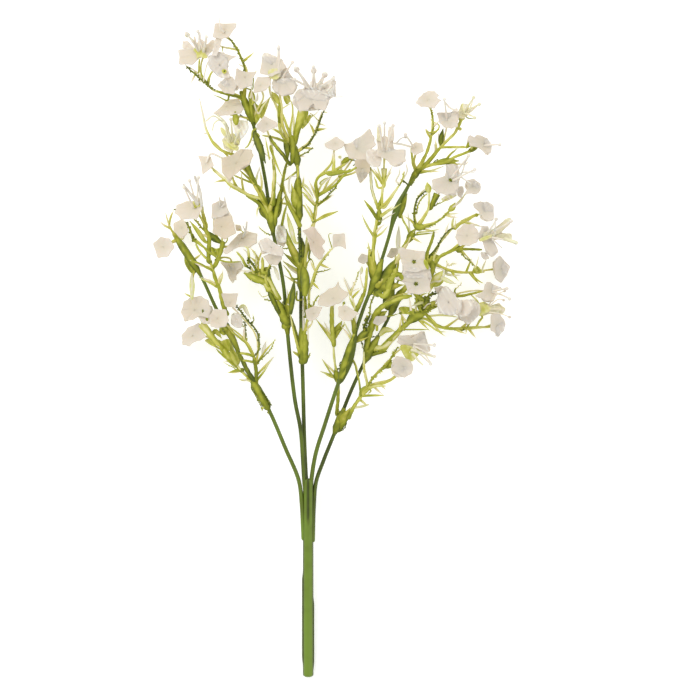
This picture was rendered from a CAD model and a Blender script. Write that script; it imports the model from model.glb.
"""A moulded spray of gypsophila that lies on a pale surface.

The tables of routes and places hold millimetres from the cut end of the handle: X to the right, Y up
the stem, Z up from the surface. The tables of outlines, growth and petals hold pixels of the 700 x 700
view, which from_pixels turns into the same millimetres. Every piece stands for one node of the frame and
follows the same routes as it.
"""
import math

import bpy
import numpy as np
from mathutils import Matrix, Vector


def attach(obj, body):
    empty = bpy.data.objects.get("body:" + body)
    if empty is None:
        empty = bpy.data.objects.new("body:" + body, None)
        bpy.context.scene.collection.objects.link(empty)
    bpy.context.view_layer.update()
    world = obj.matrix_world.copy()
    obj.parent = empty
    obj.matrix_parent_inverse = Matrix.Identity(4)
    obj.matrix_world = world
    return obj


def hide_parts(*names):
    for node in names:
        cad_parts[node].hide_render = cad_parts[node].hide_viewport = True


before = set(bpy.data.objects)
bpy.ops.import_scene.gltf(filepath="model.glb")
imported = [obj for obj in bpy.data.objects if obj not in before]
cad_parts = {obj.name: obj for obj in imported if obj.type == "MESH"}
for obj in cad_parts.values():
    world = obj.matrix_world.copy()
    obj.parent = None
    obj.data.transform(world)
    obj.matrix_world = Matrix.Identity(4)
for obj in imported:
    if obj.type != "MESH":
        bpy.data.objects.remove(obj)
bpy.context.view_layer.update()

MM = 0.001
FRAME_ORIGIN = np.array([13.974, 174.683, 0.0])  # the frame's origin, in the tables' millimetres
PIXEL = 0.53  # millimetres to a pixel of the view
PIXEL_FOOT = np.array([308.0, 679.0])  # the cut end of the handle in it


def to_frame(places):
    """Places in the tables' millimetres, as metres in the frame."""
    return (np.asarray(places, float) - FRAME_ORIGIN) * MM


def from_pixels(words):
    """Places written as x,y in pixels, in the tables' millimetres."""
    pixels = np.array([word.split(",") for word in words.split()], float)
    return np.column_stack([pixels[:, 0] - PIXEL_FOOT[0], PIXEL_FOOT[1] - pixels[:, 1]]) * PIXEL


# ---------------------------------------------------------------- the camera
VIEW_CENTRE = (22.3, 174.4)
VIEW_WIDTH = 371.0  # what the picture takes in, at the height of the florets
VIEW_DEPTH = 30.0
CAMERA_HEIGHT = 4000.0
SENSOR = 36.0

camera_data = bpy.data.cameras.new("camera")
camera_data.sensor_width = SENSOR
camera_data.lens = SENSOR * (CAMERA_HEIGHT - VIEW_DEPTH) / VIEW_WIDTH
camera = bpy.data.objects.new("camera", camera_data)
camera.location = to_frame((*VIEW_CENTRE, CAMERA_HEIGHT))
bpy.context.scene.collection.objects.link(camera)
bpy.context.scene.camera = camera

# ---------------------------------------------------------------- the tables
# The route of each branch, from the foot that is sunk in the handle to its tip.
BRANCHES = {
    "a": [[-2.5, 74, 9.2], [-3.4, 92, 11.2], [-5, 105, 12.8], [-12, 122, 15.5], [-21, 143, 18.5],
      [-33, 165, 21], [-41, 182, 23], [-49, 197, 24], [-57, 214, 23], [-66, 228, 20], [-70, 234, 18]],
    "b": [[-0.8, 92, 10.8], [-2, 104, 13], [-4, 132, 17.5], [-7, 148, 20.5], [-11, 185, 26],
      [-13, 209, 30], [-19, 240, 34], [-23, 267, 36], [-29, 294, 38], [-34.5, 308.5, 39]],
    "c": [[-0.2, 92, 10.8], [-1, 104, 11.5], [-2, 127, 14], [-2.5, 148, 18], [-3, 166, 21],
      [-3.7, 190, 25], [-3.7, 214, 28], [-4.5, 240, 31], [-5, 262, 33], [-6, 275, 34], [-8.5, 283, 34]],
    "d": [[0.8, 92, 10.8], [1.5, 103, 12.5], [4, 119, 15.5], [9, 135, 18.5], [14, 150.5, 21.5],
      [22, 174, 25], [30, 198, 29], [35.5, 211.5, 31], [42.4, 232.7, 33], [46.6, 247.5, 34],
      [52.5, 260, 35], [57.8, 269.2, 35]],
    "e": [[2.5, 73, 9], [3.1, 92, 10.4], [4.2, 104, 11], [8, 115, 11.6], [14, 130, 13],
      [23, 153, 16], [33, 174, 18], [41, 188, 20], [48, 203, 21]],
}

# What stands on each pin, in millimetres: [its place, the direction it faces, how much its petals rise
# at their root and at their end in degrees, the tips of its threads].
FLORETS = {
    "a1": [[-60, 195.5, 22], [-0.15, 0.1, 1], [5, 25], []],
    "a2": [[-48, 191, 32], [-0.3, 0.5, 0.8], [20, 45], []],
    "a3": [[-61.5, 182, 9.5], [-0.7, -0.25, 0.6], [10, 25], []],
    "a4": [[-41, 199.5, 33], [-0.4, 0.85, 0.35], [20, 75], []],
    "a5": [[-59.5, 250, 33], [-0.3, 0.75, 0.55], [10, 30], [[-57.8, 265.5, 42], [-62.5, 264, 40],
           [-65.5, 260.5, 41]]],
    "a6": [[-67.5, 239.5, 4.2], [-0.5, 0.75, 0.4], [10, 30], []],
    "a7": [[-77, 229, 21], [-0.85, 0.1, 0.5], [10, 35], []],
    "a8": [[-46.6, 249, 36], [0.1, 0.2, 1], [10, 25], []],
    "a9": [[-45.6, 239.6, 37], [0, 0.1, 1], [5, 25], []],
    "a10": [[-35, 233.7, 28], [0.1, 0.8, 0.6], [5, 20], []],
    "a11": [[-41, 218.5, 20], [-0.1, -0.95, -0.05], [20, 70], []],
    "b1": [[-22.3, 229.5, 42], [0, 0.3, 0.95], [5, 30], []],
    "b2": [[-18.6, 222.5, 42], [0.1, -0.2, 1], [5, 20], []],
    "b3": [[-54, 273, 30], [-0.6, 0.3, 0.75], [5, 15], []],
    "b4": [[-37.6, 273, 46], [-0.2, 0.3, 0.95], [5, 25], []],
    "b5": [[-39.9, 282.9, 40], [-0.1, 0.65, 0.75], [10, 30], [[-44, 294, 52], [-40.5, 296, 51],
           [-36, 290, 53]]],
    "b6": [[-21.7, 293.6, 48], [0.1, 0.5, 0.85], [10, 30], []],
    "b7": [[-43, 303, 35.5], [-0.1, 0.85, 0.5], [5, 20], []],
    "b8": [[-43.5, 314, 44], [0, 0.25, 0.95], [10, 25], []],
    "b9": [[-47.7, 325.4, 43.3], [-0.1, 0.1, 1], [5, 25], []],
    "b10": [[-56, 331.5, 38], [-0.2, 0.7, 0.7], [10, 30], [[-64, 341.5, 48], [-58, 342.5, 50],
           [-53.5, 339.5, 50]]],
    "b11": [[-44, 342, 42], [-0.2, 0.6, 0.75], [10, 30], []],
    "b12": [[-33, 318.5, 43.5], [0.3, 0.4, 0.85], [10, 25], []],
    "b13": [[-25, 314, 44], [-0.1, 0.5, 0.8], [10, 30], []],
    "c1": [[3.2, 193.5, 34], [0.3, 0.2, 0.9], [10, 30], []],
    "c2": [[16.4, 232, 44], [0.4, 0.5, 0.75], [10, 30], []],
    "c3": [[3.2, 231, 43], [0.55, 0.1, 0.83], [5, 20], []],
    "c4": [[-14.3, 235.3, 24], [-0.2, 0.4, 0.9], [10, 25], []],
    "c5": [[14.5, 283.4, 43.4], [0.1, 0.8, 0.6], [5, 15], []],
    "c6": [[26, 280.5, 42], [-0.2, 0.2, 0.95], [5, 20], []],
    "c7": [[28.5, 270, 43], [0.1, -0.3, 0.95], [5, 20], []],
    "c8": [[-19, 325.4, 38], [-0.1, 0.6, 0.8], [10, 30], []],
    "c9": [[-14.5, 317.5, 41], [0.15, 0.4, 0.9], [10, 30], [[-15.4, 333.5, 52], [-8, 326, 53]]],
    "c10": [[2.7, 311.5, 44], [0.2, 0.5, 0.85], [5, 25], [[-6.5, 323, 53], [-7, 317, 55],
           [3.2, 323.5, 55], [9, 320, 54], [13.3, 317.5, 52]]],
    "d1": [[19.6, 195.1, 36], [-0.3, 0.2, 0.9], [10, 25], []],
    "d2": [[29.2, 223, 30], [-0.6, 0.4, 0.7], [10, 30], []],
    "d3": [[40.8, 279, 47], [0.1, 0.7, 0.7], [5, 25], [[37.6, 292.5, 57], [40.5, 294, 56],
           [45, 292.5, 57]]],
    "d4": [[75.3, 264, 43], [0.45, 0.45, 0.75], [5, 25], [[88, 269.5, 53], [84.8, 277, 52]]],
    "d5": [[87, 260.8, 37.6], [0.5, 0.3, 0.8], [10, 30], []],
    "d6": [[57.2, 281.4, 39], [-0.1, 0.6, 0.8], [10, 30], [[51.5, 288, 48]]],
    "d7": [[63.6, 306.3, 45], [-0.1, 0.7, 0.7], [10, 30], []],
    "d8": [[73.7, 295.7, 43], [-0.05, 0.5, 0.85], [10, 30], [[72, 306.5, 51]]],
    "d9": [[82, 300.5, 37.6], [0.3, 0.6, 0.75], [10, 30], [[87.5, 307.5, 51], [90.5, 304, 49],
           [88, 296.8, 52]]],
    "d10": [[93.3, 283.6, 32], [0.8, 0.35, 0.45], [10, 35], [[101.5, 283, 39]]],
    "d11": [[45, 226.5, 23.5], [-0.2, 0.2, 0.95], [10, 30], []],
    "e1": [[13.3, 201.5, 30], [-0.1, 0.7, 0.7], [5, 20], []],
    "e2": [[50.4, 165.4, 22.5], [0.1, -0.2, 0.95], [5, 25], []],
    "e3": [[55.1, 177, 22], [0.5, -0.3, 0.8], [5, 20], [[67, 177, 31], [67, 171, 30], [65, 167, 32]]],
    "e4": [[37, 190, 30], [0.4, 0.3, 0.85], [10, 25], []],
    "e5": [[72.6, 200.3, 30], [-0.1, 0.1, 1], [5, 25], []],
    "e6": [[85.3, 194, 21], [-0.1, 0, 1], [5, 25], []],
    "e7": [[94.5, 196.5, 18], [0.4, -0.1, 0.9], [5, 20], []],
    "e8": [[100.3, 187, 13], [0.6, -0.3, 0.7], [5, 25], []],
    "e9": [[97.5, 206.5, 16], [0.6, 0.3, 0.75], [10, 30], [[105.5, 207, 26], [107, 201.5, 27]]],
    "e10": [[57.2, 209.4, 39], [0, -0.15, 1], [5, 20], []],
    "e11": [[56.2, 221, 40], [-0.1, 0.1, 1], [5, 20], []],
    "e12": [[84.3, 234.8, 35], [-0.1, 0.15, 1], [5, 25], []],
    "e13": [[95.2, 235, 33], [0.55, 0.1, 0.8], [5, 20], [[107.5, 242.5, 42], [110, 231, 40],
           [99.5, 243.5, 44]]],
    "e14": [[93.3, 248, 31], [0.4, 0.5, 0.75], [10, 30], []],
    "e15": [[102.8, 217.8, 5.1], [0.8, 0.05, 0.6], [5, 20], []],
}

# The corners of each floret's outline, which were read by eye, as x,y in pixels of the 700 x 700 view.
OUTLINES = {
    "a1": "183,301 190,296.5 201,295 208.5,300 212,309 209.4,318.5 200,316 193,320 184,322 180,312",
    "a2": "209.4,316 213.6,308.6 226.5,309 229.5,320.5 226.3,326.8 216.8,328.7 210.5,326.6",
    "a3": "180,335 187,327 198.8,322.3 203,329.8 206.2,337.2 200,340.5 192,343 188.5,347 181,345",
    "a4": "221,293 239,293 236.8,299.5 236.5,307.5 225.5,307",
    "a5": "176,205 186,201 200.5,200.5 203,208 198,219.5 181,220 174,213",
    "a6": "172,222 181,217.5 188,223 187,233 181,240 172,236",
    "a7": "152,243 160,236 170,238 175,247 168,257 157,258",
    "a8": "212,204 220.5,200 226.5,201.3 229,213.5 222,217.5 211.5,219.5",
    "a9": "213.5,219.5 221,216 232.7,215.6 234.8,224.1 237,233.6 225.3,240.3 212.5,233",
    "a10": "238,234 246.5,230.5 258,233.6 257.6,243.2 249.6,248.5 239,247 226.3,255 222.6,251.6 231,242",
    "a11": "219.5,262 241.2,260.5 243.3,266.5 236.5,271 236.5,280.5 230,279.5 227.3,271.5",
    "b1": "258,243.2 263.4,240 270.8,239.5 276,247.4 271.9,253 262.3,255",
    "b2": "263,256.5 271.9,252.5 282.5,251.6 282.5,259.5 277.5,266 269,264.5",
    "b3": "197.5,155 211,156.2 214.5,166 209.5,170 202.5,175 200.9,163",
    "b4": """
        221.4,158.5 234,155 241.2,149.2 252.8,150 254.6,156 250.2,165.5 245,167 239,173.3 229.5,181
        222.4,174
    """,
    "b5": "222,140 227,134 233,137 240,131 241,141 238,150 230,153 224,149",
    "b6": "257,126.2 264.5,116.4 277.5,123 278.4,127.4 270,131 264,134.5 257,130.5",
    "b7": "213,114 221,107.5 226.3,99.5 239,98.4 246,108.2 241.7,114 229.5,116 218,117",
    "b8": "217.3,86 225,79 233,77 238,85 235,96 224.5,94",
    "b9": """
        208.2,64 208.5,57 214.7,53.4 220.5,52.4 227,55 238,57.2 229.5,62 229.5,68 223,74 218,77.5
        211.5,71.5
    """,
    "b10": """
        178,50 195,49 198,41 203,39 207,45 213,39.5 219.5,41 214.5,50 208,57.5 200,58.5 193.5,66
        179,66
    """,
    "b11": "215,23.5 237.4,24 236.4,28.5 232,34 230,38 221.6,40.5 212.6,38.3",
    "b12": "236.7,68.5 244.3,72.5 257.4,72.5 253,80.6 253.3,86.5 241,91.5 234.4,84",
    "b13": "254.6,84.5 257.5,77.5 270.8,77.5 272,85 266.6,91.4 253.5,94.6",
    "c1": "305.2,309.9 314.5,305.6 323.2,306.6 318.8,316 315.3,320 309.9,321.6 306.7,318.3",
    "c2": "332.7,234.1 345.3,233.3 346.5,250.4 341.5,246.5 338.3,246.3 332.7,249",
    "c3": """
        302,230.8 311.5,226.3 315.5,228 320.8,234.9 325.4,241 324.7,243.5 322.2,246 325.4,251.7
        323,258 319.1,260.5 314.3,256 310.5,250 309,242 308,238.5
    """,
    "c4": "276,228.5 286,228 288,238 284,247.5 276.5,244",
    "c5": "324,144.7 336.4,136.5 345.2,143.1 343,148 335.6,151.8 326.5,148.8",
    "c6": """
        343,144.4 352,143 356,139 363,136 369.5,128.5 374.6,137.4 376.5,145.7 370.5,151 373.5,156
        368,161 358,160.6 348.7,159.3 345.5,152
    """,
    "c7": "354.5,160.5 370.8,158.3 370.2,172.5 366.4,176 359.7,184 355.3,172.1",
    "c8": "262.3,55.5 282.7,59.5 287.5,68 281,73.5 271.9,78 259.5,74.5",
    "c9": "276.5,72.5 287,67.5 294,79 297,89 294,94.6 282.5,98 274,91.5 272,84",
    "c10": """
        293.6,95.5 302.6,92 305,86 315,87 322.7,86.5 331.1,84.5 335.6,89.1 337.2,96.5 329,102
        327.5,108.2 324.8,112.6 315.5,110.5 313.8,104.5 307,112.6 299.2,113.7 297,105
    """,
    "d1": "338,306 345.9,305 352,308.9 360,313.8 353.8,317.7 349.7,321.6 342.8,320.8 338,316.8",
    "d2": "358,258 362,253 368.2,255.3 369.1,261 363.5,264.4 358,262",
    "d3": """
        377.6,148 376,139 384.6,136 393,138.5 394.3,150.5 406,150 406,163 400.6,165 394.8,168.4
        390.2,165.7 386,160 375.5,156.7
    """,
    "d4": """
        431,180.4 445.5,176 445.7,164.2 458.3,165 460.6,176 458.3,188.5 453.6,194.6 445.9,196.2
        436,194 431,190
    """,
    "d5": "466.4,180.4 473.5,178.6 480.6,183.5 480.6,190.7 476.7,194.8 470.4,194 464.5,195.5 467,188",
    "d6": "410.7,146 415.4,142.2 422.6,143.7 424,151.8 415.4,156.2 410.7,152.5",
    "d7": """
        414.7,103.9 418.2,98.7 423,93.8 428,91 434.5,91.7 439.6,96 436.5,98.4 441.5,101 437,105.4
        434.3,110.4 428,108.5 420,108
    """,
    "d8": """
        436.7,114.4 440.6,112.8 451,113 454,109.3 457.7,108.6 458.4,119.3 457.7,128 451,129.4
        444,128.8 438.3,123
    """,
    "d9": "457.5,114.5 461,103.5 465.6,104 467,108.5 472.5,107 469,115 463.5,119.5 458,118.5",
    "d10": """
        475.5,135.2 480.6,135.2 487.8,138 489.2,141.8 492.5,144.8 491.3,152.6 487,152.6 486,155.6
        481.5,150 477,147.5 469,146.5 467,140.5 469.5,135.5 475,137.8
    """,
    "d11": "386.3,256.5 391,247.5 398,247.5 399,253.5 392,258.5",
    "e1": """
        317.4,301.7 319.9,295.1 329,288.3 335.2,286.5 338.3,280 341,287.7 349.3,292.3 347.5,296.5
        340,303.4 332.1,306 326.8,307 318.2,305.5
    """,
    "e2": """
        396.5,355.5 402.3,356.4 408.6,360 413.2,364.6 413.2,369.3 411.7,374.2 404.6,378.3 399,375
        390.5,369.6 394.5,364.6 391.9,360.2
    """,
    "e3": """
        396.3,342 399.2,335 406.8,335 412.1,338 415.7,335 420.2,331.4 425.3,331 427,339.2
        428.4,344.1 431.2,348.6 430,352 421,352.2 411,349.5 404.5,348
    """,
    "e4": "372.5,323 376,316 387.4,315.4 386.6,320.2 379,326",
    "e5": """
        433.4,287.3 440.7,285.5 448,286.4 456,293.6 457.9,303.6 458.8,314.5 447.9,315.5 438,313.6
        441.5,305.5 434.3,300.9 438.5,296
    """,
    "e6": "456.6,308 460.2,301.6 471.1,298.9 479.4,304.3 479.4,311.8 474.6,318 468.4,323.6 458.4,319.8",
    "e7": """
        480,303 486,303 492,305 500,302.5 506.5,308 504.5,313 499,316.5 492,313.5 484.5,315.4
        479.3,311.5
    """,
    "e8": "491,314.5 498.8,310.5 505.2,319.6 506.5,324.1 505.2,330.4 498.8,337.4 495,332.3 490.8,330.4",
    "e9": """
        484.3,286.6 487,281 491.6,281.9 495.4,286.6 502.6,286.6 497.5,291.3 496.3,296.4 494.3,301.2
        487,301.2 478,297.5 474.4,295.5 484,291.5
    """,
    "e10": """
        393.2,278.6 402.3,273.4 415.7,273.2 427.5,273 430.2,283 431.2,291.3 419.3,294.8 407.5,294
        405,284
    """,
    "e11": """
        397.7,250 401.4,247 409.5,249.5 425.7,251 424.8,260.7 426.6,269.8 415.7,273.4 404.1,271.6
        401.2,262.5
    """,
    "e12": """
        456.4,230.3 463.5,223.8 473.5,223.8 477.5,229.5 480.5,235 477.5,242.6 469,246.6 458,245.2
        454.8,237.2
    """,
    "e13": """
        482,225.5 488.2,226 489,230.5 494.3,228.3 506,219.3 511.7,220.3 510.3,224.2 501,232.8
        512,233.2 513.5,241.2 500,239.3 493,240.7 498.3,251 491,257.4 484,248.5 482,240.5
        477.8,239.2 478.3,234
    """,
    "e14": """
        473.3,202.8 480.3,201 488,202.6 493.6,205 494,220 488.8,221.8 483.5,219.5 478.8,211.5
        474,208.1
    """,
    "e15": "494,263.4 500.5,254 511.7,266 508,275 502.3,283 495.7,277.9",
}

SPRIGS = {
    "sprig_a_lower": {
      "sleeve": ["a", 143, 159, 1.95, 2.05],
      "twigs": [
        [1.1, 0.7, [[-29, 157, 20], [-36, 164, 19], [-41.5, 172, 16.5], [-50.5, 180, 12]], "a3"],
        [0.8, 0.6, [[-48, 178, 13.5], [-54.5, 186, 15]], "a1"],
        [1.1, 0.8, [[-27.5, 156, 19.5], [-27.3, 162, 21.5], [-27.6, 168, 24]]],
        [0.9, 0.6, [[-27.6, 167, 24], [-30, 174.5, 27], [-34.5, 181, 30], [-43, 187.5, 30]], "a2"],
        [0.8, 0.6, [[-27.6, 167, 24], [-26.5, 175, 26], [-28, 183, 28.5], [-35, 192, 31]], "a4"],
      ],
      "needles": [
        [[-36, 163.4, 19], [-42.4, 162.2, 17]], [[-31, 159, 20], [-37, 158.6, 22]],
        [[-38.3, 167, 18], [-45, 168.5, 20]], [[-40, 170, 17], [-49, 177, 21]],
        [[-27.3, 167, 24], [-17.5, 179.7, 27]], [[-27.3, 161, 21], [-18.5, 170.7, 22]],
        [[-33.8, 180, 29.7], [-33.4, 188, 33]],
      ],
      "blades": [],
    },
    "sprig_a_middle": {
      "sleeve": ["a", 177, 192, 2.0, 2.1],
      "twigs": [
        [1.3, 0.8, [[-45.5, 190, 23.7], [-43.8, 196, 25.5], [-46, 205, 28], [-50.4, 217, 30],
          [-52.5, 225, 31], [-52.6, 233, 31], [-55, 241, 31]], "a5"],
        [0.8, 0.5, [[-52.5, 226, 31], [-57.2, 231, 30], [-61, 235, 30], [-62.5, 240, 30]]],
        [0.9, 0.6, [[-50.4, 217.5, 30], [-47.7, 224, 30.5], [-45.5, 231.6, 31], [-45.6, 236, 31.5]], "a9"],
        [0.7, 0.6, [[-45.5, 230, 31], [-49.5, 238, 30], [-49.5, 245, 32]], "a8"],
        [0.7, 0.6, [[-45.8, 229, 30.8], [-41, 229.5, 28]], "a10"],
        [0.7, 0.6, [[-48.9, 222, 30.3], [-45, 223.5, 28], [-41.5, 223, 24]], "a11"],
      ],
      "needles": [
        [[-47, 208, 28.6], [-56.7, 213, 32]], [[-47.5, 208.5, 28.7], [-45, 216.2, 33]],
        [[-50.6, 218, 30.2], [-62.5, 222, 34]], [[-52.6, 234, 31], [-57.5, 236, 34]],
      ],
      "blades": [],
    },
    "sprig_a_tip": {
      "sleeve": ["a", 214, 240, 2.0, 2.2],
      "twigs": [
        [1.1, 0.7, [[-69.5, 233, 18.2], [-68, 233.3, 13], [-66.6, 234, 7.5]], "a6"],
        [1.1, 0.7, [[-69.5, 233, 18.2], [-72.5, 231.5, 19]], "a7"],
        [1.1, 0.5, [[-69.5, 233.5, 18.2], [-73.5, 240, 22], [-75.5, 247, 25]]],
      ],
      "needles": [
        [[-60, 218, 22], [-61.5, 203, 20]], [[-73, 239, 21.6], [-79, 243, 24]],
        [[-73.8, 241, 22.4], [-71, 249, 27]], [[-62, 221.5, 21.5], [-56, 226, 20]],
      ],
      "blades": [],
    },
    "sprig_b_lower": {
      "sleeve": ["b", 183, 198, 2.3, 2.3],
      "twigs": [
        [2.2, 1.6, [[-11.5, 187, 26.5], [-13, 194, 28], [-16.5, 200, 30], [-21, 207, 32]]],
        [1.6, 0.8, [[-20.7, 206.5, 32], [-24.5, 211.5, 33], [-33.4, 215.7, 33.5]]],
        [1.1, 0.6, [[-20.7, 206.5, 32], [-22.5, 213, 34.5], [-20.5, 218.5, 36.5]], "b2"],
        [1.1, 0.6, [[-24.5, 211, 33], [-26.5, 219, 34.5], [-25, 225, 36]], "b1"],
      ],
      "needles": [
        [[-26.3, 219, 34.5], [-31, 224, 37]], [[-28, 213, 33.2], [-32, 221, 34]],
        [[-26, 222, 35.2], [-31, 229, 39]], [[-25, 212, 33], [-31, 211, 35]],
      ],
      "blades": [[[-10.5, 193, 29], [-7.4, 211.5, 36], 1.6]],
    },
    "sprig_b_middle": {
      "sleeve": ["b", 236, 250, 2.1, 2.4],
      "twigs": [
        [1.5, 0.7, [[-21, 247, 35.2], [-24.5, 254, 37], [-30.7, 256, 38], [-36, 259.5, 37],
          [-40.3, 262, 35.5], [-46, 267, 32]], "b3"],
        [1.3, 0.8, [[-21, 248, 35.2], [-24.8, 255.5, 38], [-28, 261, 40], [-30.5, 266, 41],
          [-34, 270, 42]], "b4"],
        [1.4, 0.7, [[-20.5, 248, 35.2], [-18.8, 254, 37.5], [-18.2, 262, 40.5], [-17.7, 270, 42],
          [-18.4, 277.7, 43], [-19.6, 284.6, 44]], "b6"],
        [0.8, 0.6, [[-38, 260.7, 36.3], [-40.5, 268, 36], [-40.5, 277, 37]], "b5"],
        [0.7, 0.45, [[-40.5, 275, 36.8], [-46.6, 281.4, 36], [-51, 286, 36], [-53.5, 291, 37],
          [-55.7, 299, 38], [-57.2, 307, 39]]],
      ],
      "needles": [
        [[-34, 258.3, 37.3], [-35, 268.7, 40]], [[-25, 256, 38], [-25.6, 270.8, 43]],
        [[-43, 264.3, 33.8], [-50, 263, 35]],
      ],
      "blades": [[[-20, 243, 34.4], [-12.5, 255.5, 32], 2.2], [[-20.5, 244, 34.6], [-26.5, 257, 34], 1.8]],
    },
    "sprig_b_tip": {
      "sleeve": ["b", 294, 314, 1.9, 2.1],
      "twigs": [
        [1.3, 0.6, [[-34, 307, 39], [-40, 309.8, 39.5], [-45.6, 310.6, 40], [-50.4, 312.2, 40],
          [-55.7, 317.5, 39.5], [-59, 321.5, 39], [-64.7, 325, 39]]],
        [0.9, 0.6, [[-54.5, 316, 39.6], [-56.5, 321, 37.5], [-56.5, 325.5, 35.5]], "b10"],
        [0.9, 0.6, [[-53, 314.8, 39.7], [-51.5, 320, 40]], "b9"],
        [0.9, 0.6, [[-42.5, 310, 39.7], [-42.8, 312, 40]], "b8"],
        [1.3, 0.7, [[-34, 307.5, 39], [-33, 315, 39.5], [-32.5, 322, 39.5], [-35, 328, 40],
          [-37, 333, 40], [-40.5, 338, 39]], "b11"],
        [0.8, 0.6, [[-33.2, 313, 39.4], [-34.5, 316, 41]], "b12"],
        [0.9, 0.6, [[-29.6, 296, 38.2], [-27, 301, 39], [-23.5, 308, 39.5]], "b13"],
        [0.8, 0.6, [[-30, 296.5, 38.2], [-36, 298, 36], [-41, 299, 33.5]], "b7"],
      ],
      "needles": [
        [[-37, 333, 40], [-48.2, 335, 37]], [[-34.5, 327, 40], [-28, 332, 42]],
        [[-32.8, 318, 39.5], [-27, 322, 37]], [[-59, 321.5, 39], [-62, 315, 41]],
        [[-36.5, 298, 35.8], [-38.5, 293, 38]],
      ],
      "blades": [],
    },
    "sprig_c_lower": {
      "sleeve": ["c", 168, 186, 2.1, 2.15],
      "twigs": [
        [1.1, 0.5, [[-4, 171.5, 22.5], [-6.5, 180, 27], [-8.3, 187.6, 32], [-9.5, 194.5, 35.5]]],
        [1.2, 0.7, [[-2.5, 182, 24], [0.3, 193, 27], [0.8, 206, 30.5], [2.4, 211.5, 32.5],
          [4.4, 217, 35], [6.8, 221, 37.5], [11, 226, 40]], "c2"],
        [0.8, 0.6, [[-1.7, 184.5, 24.8], [2, 188.5, 28]], "c1"],
      ],
      "needles": [
        [[6.2, 220, 36.7], [12, 217.5, 38]], [[2.1, 210.5, 32], [6.5, 206, 33]],
        [[-4, 170.5, 22.3], [-8.2, 174, 22]], [[4.2, 216, 34.7], [1.2, 222, 37]],
      ],
      "blades": [],
    },
    "sprig_c_middle": {
      "sleeve": ["c", 206, 223, 2.1, 2.3],
      "twigs": [
        [0.9, 0.6, [[-4.5, 219, 28.3], [-8.5, 226, 24], [-12, 232, 20.5]], "c4"],
        [1.4, 0.9, [[-3.5, 220, 29], [-0.8, 226, 28.5], [1.4, 233, 29], [3, 240.6, 31.5],
          [4.4, 249, 35], [5.3, 258, 38]]],
        [0.9, 0.6, [[0.5, 230, 28.8], [2.5, 230.5, 33]], "c3"],
        [0.9, 0.7, [[5.2, 257, 37.7], [4.6, 264.5, 39], [8.5, 268.7, 40.5], [12.3, 273, 41.5]], "c5"],
        [0.9, 0.7, [[5.2, 256, 37.3], [10.6, 260.2, 38], [17.5, 267, 37.5], [22, 273, 37]], "c6"],
        [0.8, 0.7, [[16.5, 266, 37.6], [24, 268, 37.5]], "c7"],
      ],
      "needles": [
        [[-4.6, 220, 29], [-13.2, 225.8, 31]], [[-4.2, 214, 28], [-12.7, 221, 27]],
        [[-4, 209, 27.5], [-12.5, 214, 27]], [[3.2, 242, 32], [15.9, 248, 35]],
        [[3.4, 243, 32.6], [-1.6, 252.3, 39]], [[4.6, 251, 35.6], [-1.8, 258.5, 42]],
        [[5, 254, 36.6], [0.4, 264.5, 43]], [[4.8, 252, 36], [13.8, 256.5, 40]],
        [[8.5, 258.8, 37.8], [12.5, 266, 41]], [[17, 266.5, 37.6], [17.5, 276, 40]],
      ],
      "blades": [[[-4.8, 221.5, 29.5], [-10.6, 233, 32], 1.3]],
    },
    "sprig_c_upper": {
      "sleeve": ["c", 243, 266, 1.95, 1.8],
      "twigs": [
        [1.2, 0.5, [[-5, 246, 31.6], [-9, 251, 31], [-12.2, 258, 30], [-13.2, 265, 29.5],
          [-11.5, 274, 30]]],
      ],
      "needles": [[[-12, 257.5, 30], [-16.5, 263.5, 28]], [[-9.5, 251.5, 31], [-15.5, 252, 28]]],
      "blades": [[[-5.2, 249, 31.8], [-8.8, 262.5, 36.5], 1.8]],
    },
    "sprig_c_tip": {
      "sleeve": ["c", 272, 288, 2.1, 2.6],
      "twigs": [
        [1.4, 0.7, [[-8.5, 281, 34], [-14.3, 290, 35.5], [-16, 301.6, 35], [-20, 311, 34.5],
          [-20, 318, 34.5]], "c8"],
        [1.4, 0.7, [[-9, 283, 34], [-13.3, 293, 38], [-14, 304, 38.5], [-15, 311, 38.5]], "c9"],
        [1.1, 0.5, [[-8.5, 283, 34.2], [-9.3, 291, 37], [-8, 299, 39.5], [-8.5, 305, 41],
          [-11, 308, 43]]],
        [1.5, 0.8, [[-8.3, 283, 34], [-7.2, 287, 35], [-5, 294, 36.5], [-1.2, 304, 39]], "c10"],
        [1.2, 0.6, [[-7, 279, 34], [-3.5, 280.8, 34.5], [2, 286, 34.5], [4.6, 292, 34],
          [7.4, 300.5, 34]]],
      ],
      "needles": [
        [[4.2, 290.5, 34.2], [10, 291.5, 37]], [[-2.5, 281.6, 34.5], [3.2, 281, 37]],
        [[-6.5, 277.5, 34], [-1.2, 276.5, 35.5]], [[-13, 288, 35.2], [-19.5, 291.5, 37]],
        [[-10.5, 284.5, 34.6], [-19, 286.5, 36]], [[-6, 276, 34.2], [-11.5, 270.5, 36]],
        [[3.4, 289, 34.3], [0.5, 295, 31]],
      ],
      "blades": [],
    },
    "sprig_d_lower": {
      "sleeve": ["d", 159, 183, 2.3, 2.3],
      "twigs": [
        [1.1, 0.7, [[24.5, 181, 26.3], [25, 189, 29.5], [24.6, 198, 31.5], [22.5, 205, 32.5]]],
        [0.8, 0.6, [[24.6, 185, 28], [23, 190, 29]], "d1"],
      ],
      "needles": [
        [[22.7, 203.5, 32.4], [18.5, 212.5, 34]], [[22.6, 204, 32.5], [26, 213, 36]],
        [[23.5, 202, 32], [28.3, 207, 36.5]], [[23.5, 179, 26], [17.3, 187.5, 27]],
        [[25, 179, 26], [32.3, 181.5, 28.5]], [[22, 172, 24.8], [27, 161, 25]],
      ],
      "blades": [],
    },
    "sprig_d_middle": {
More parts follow.
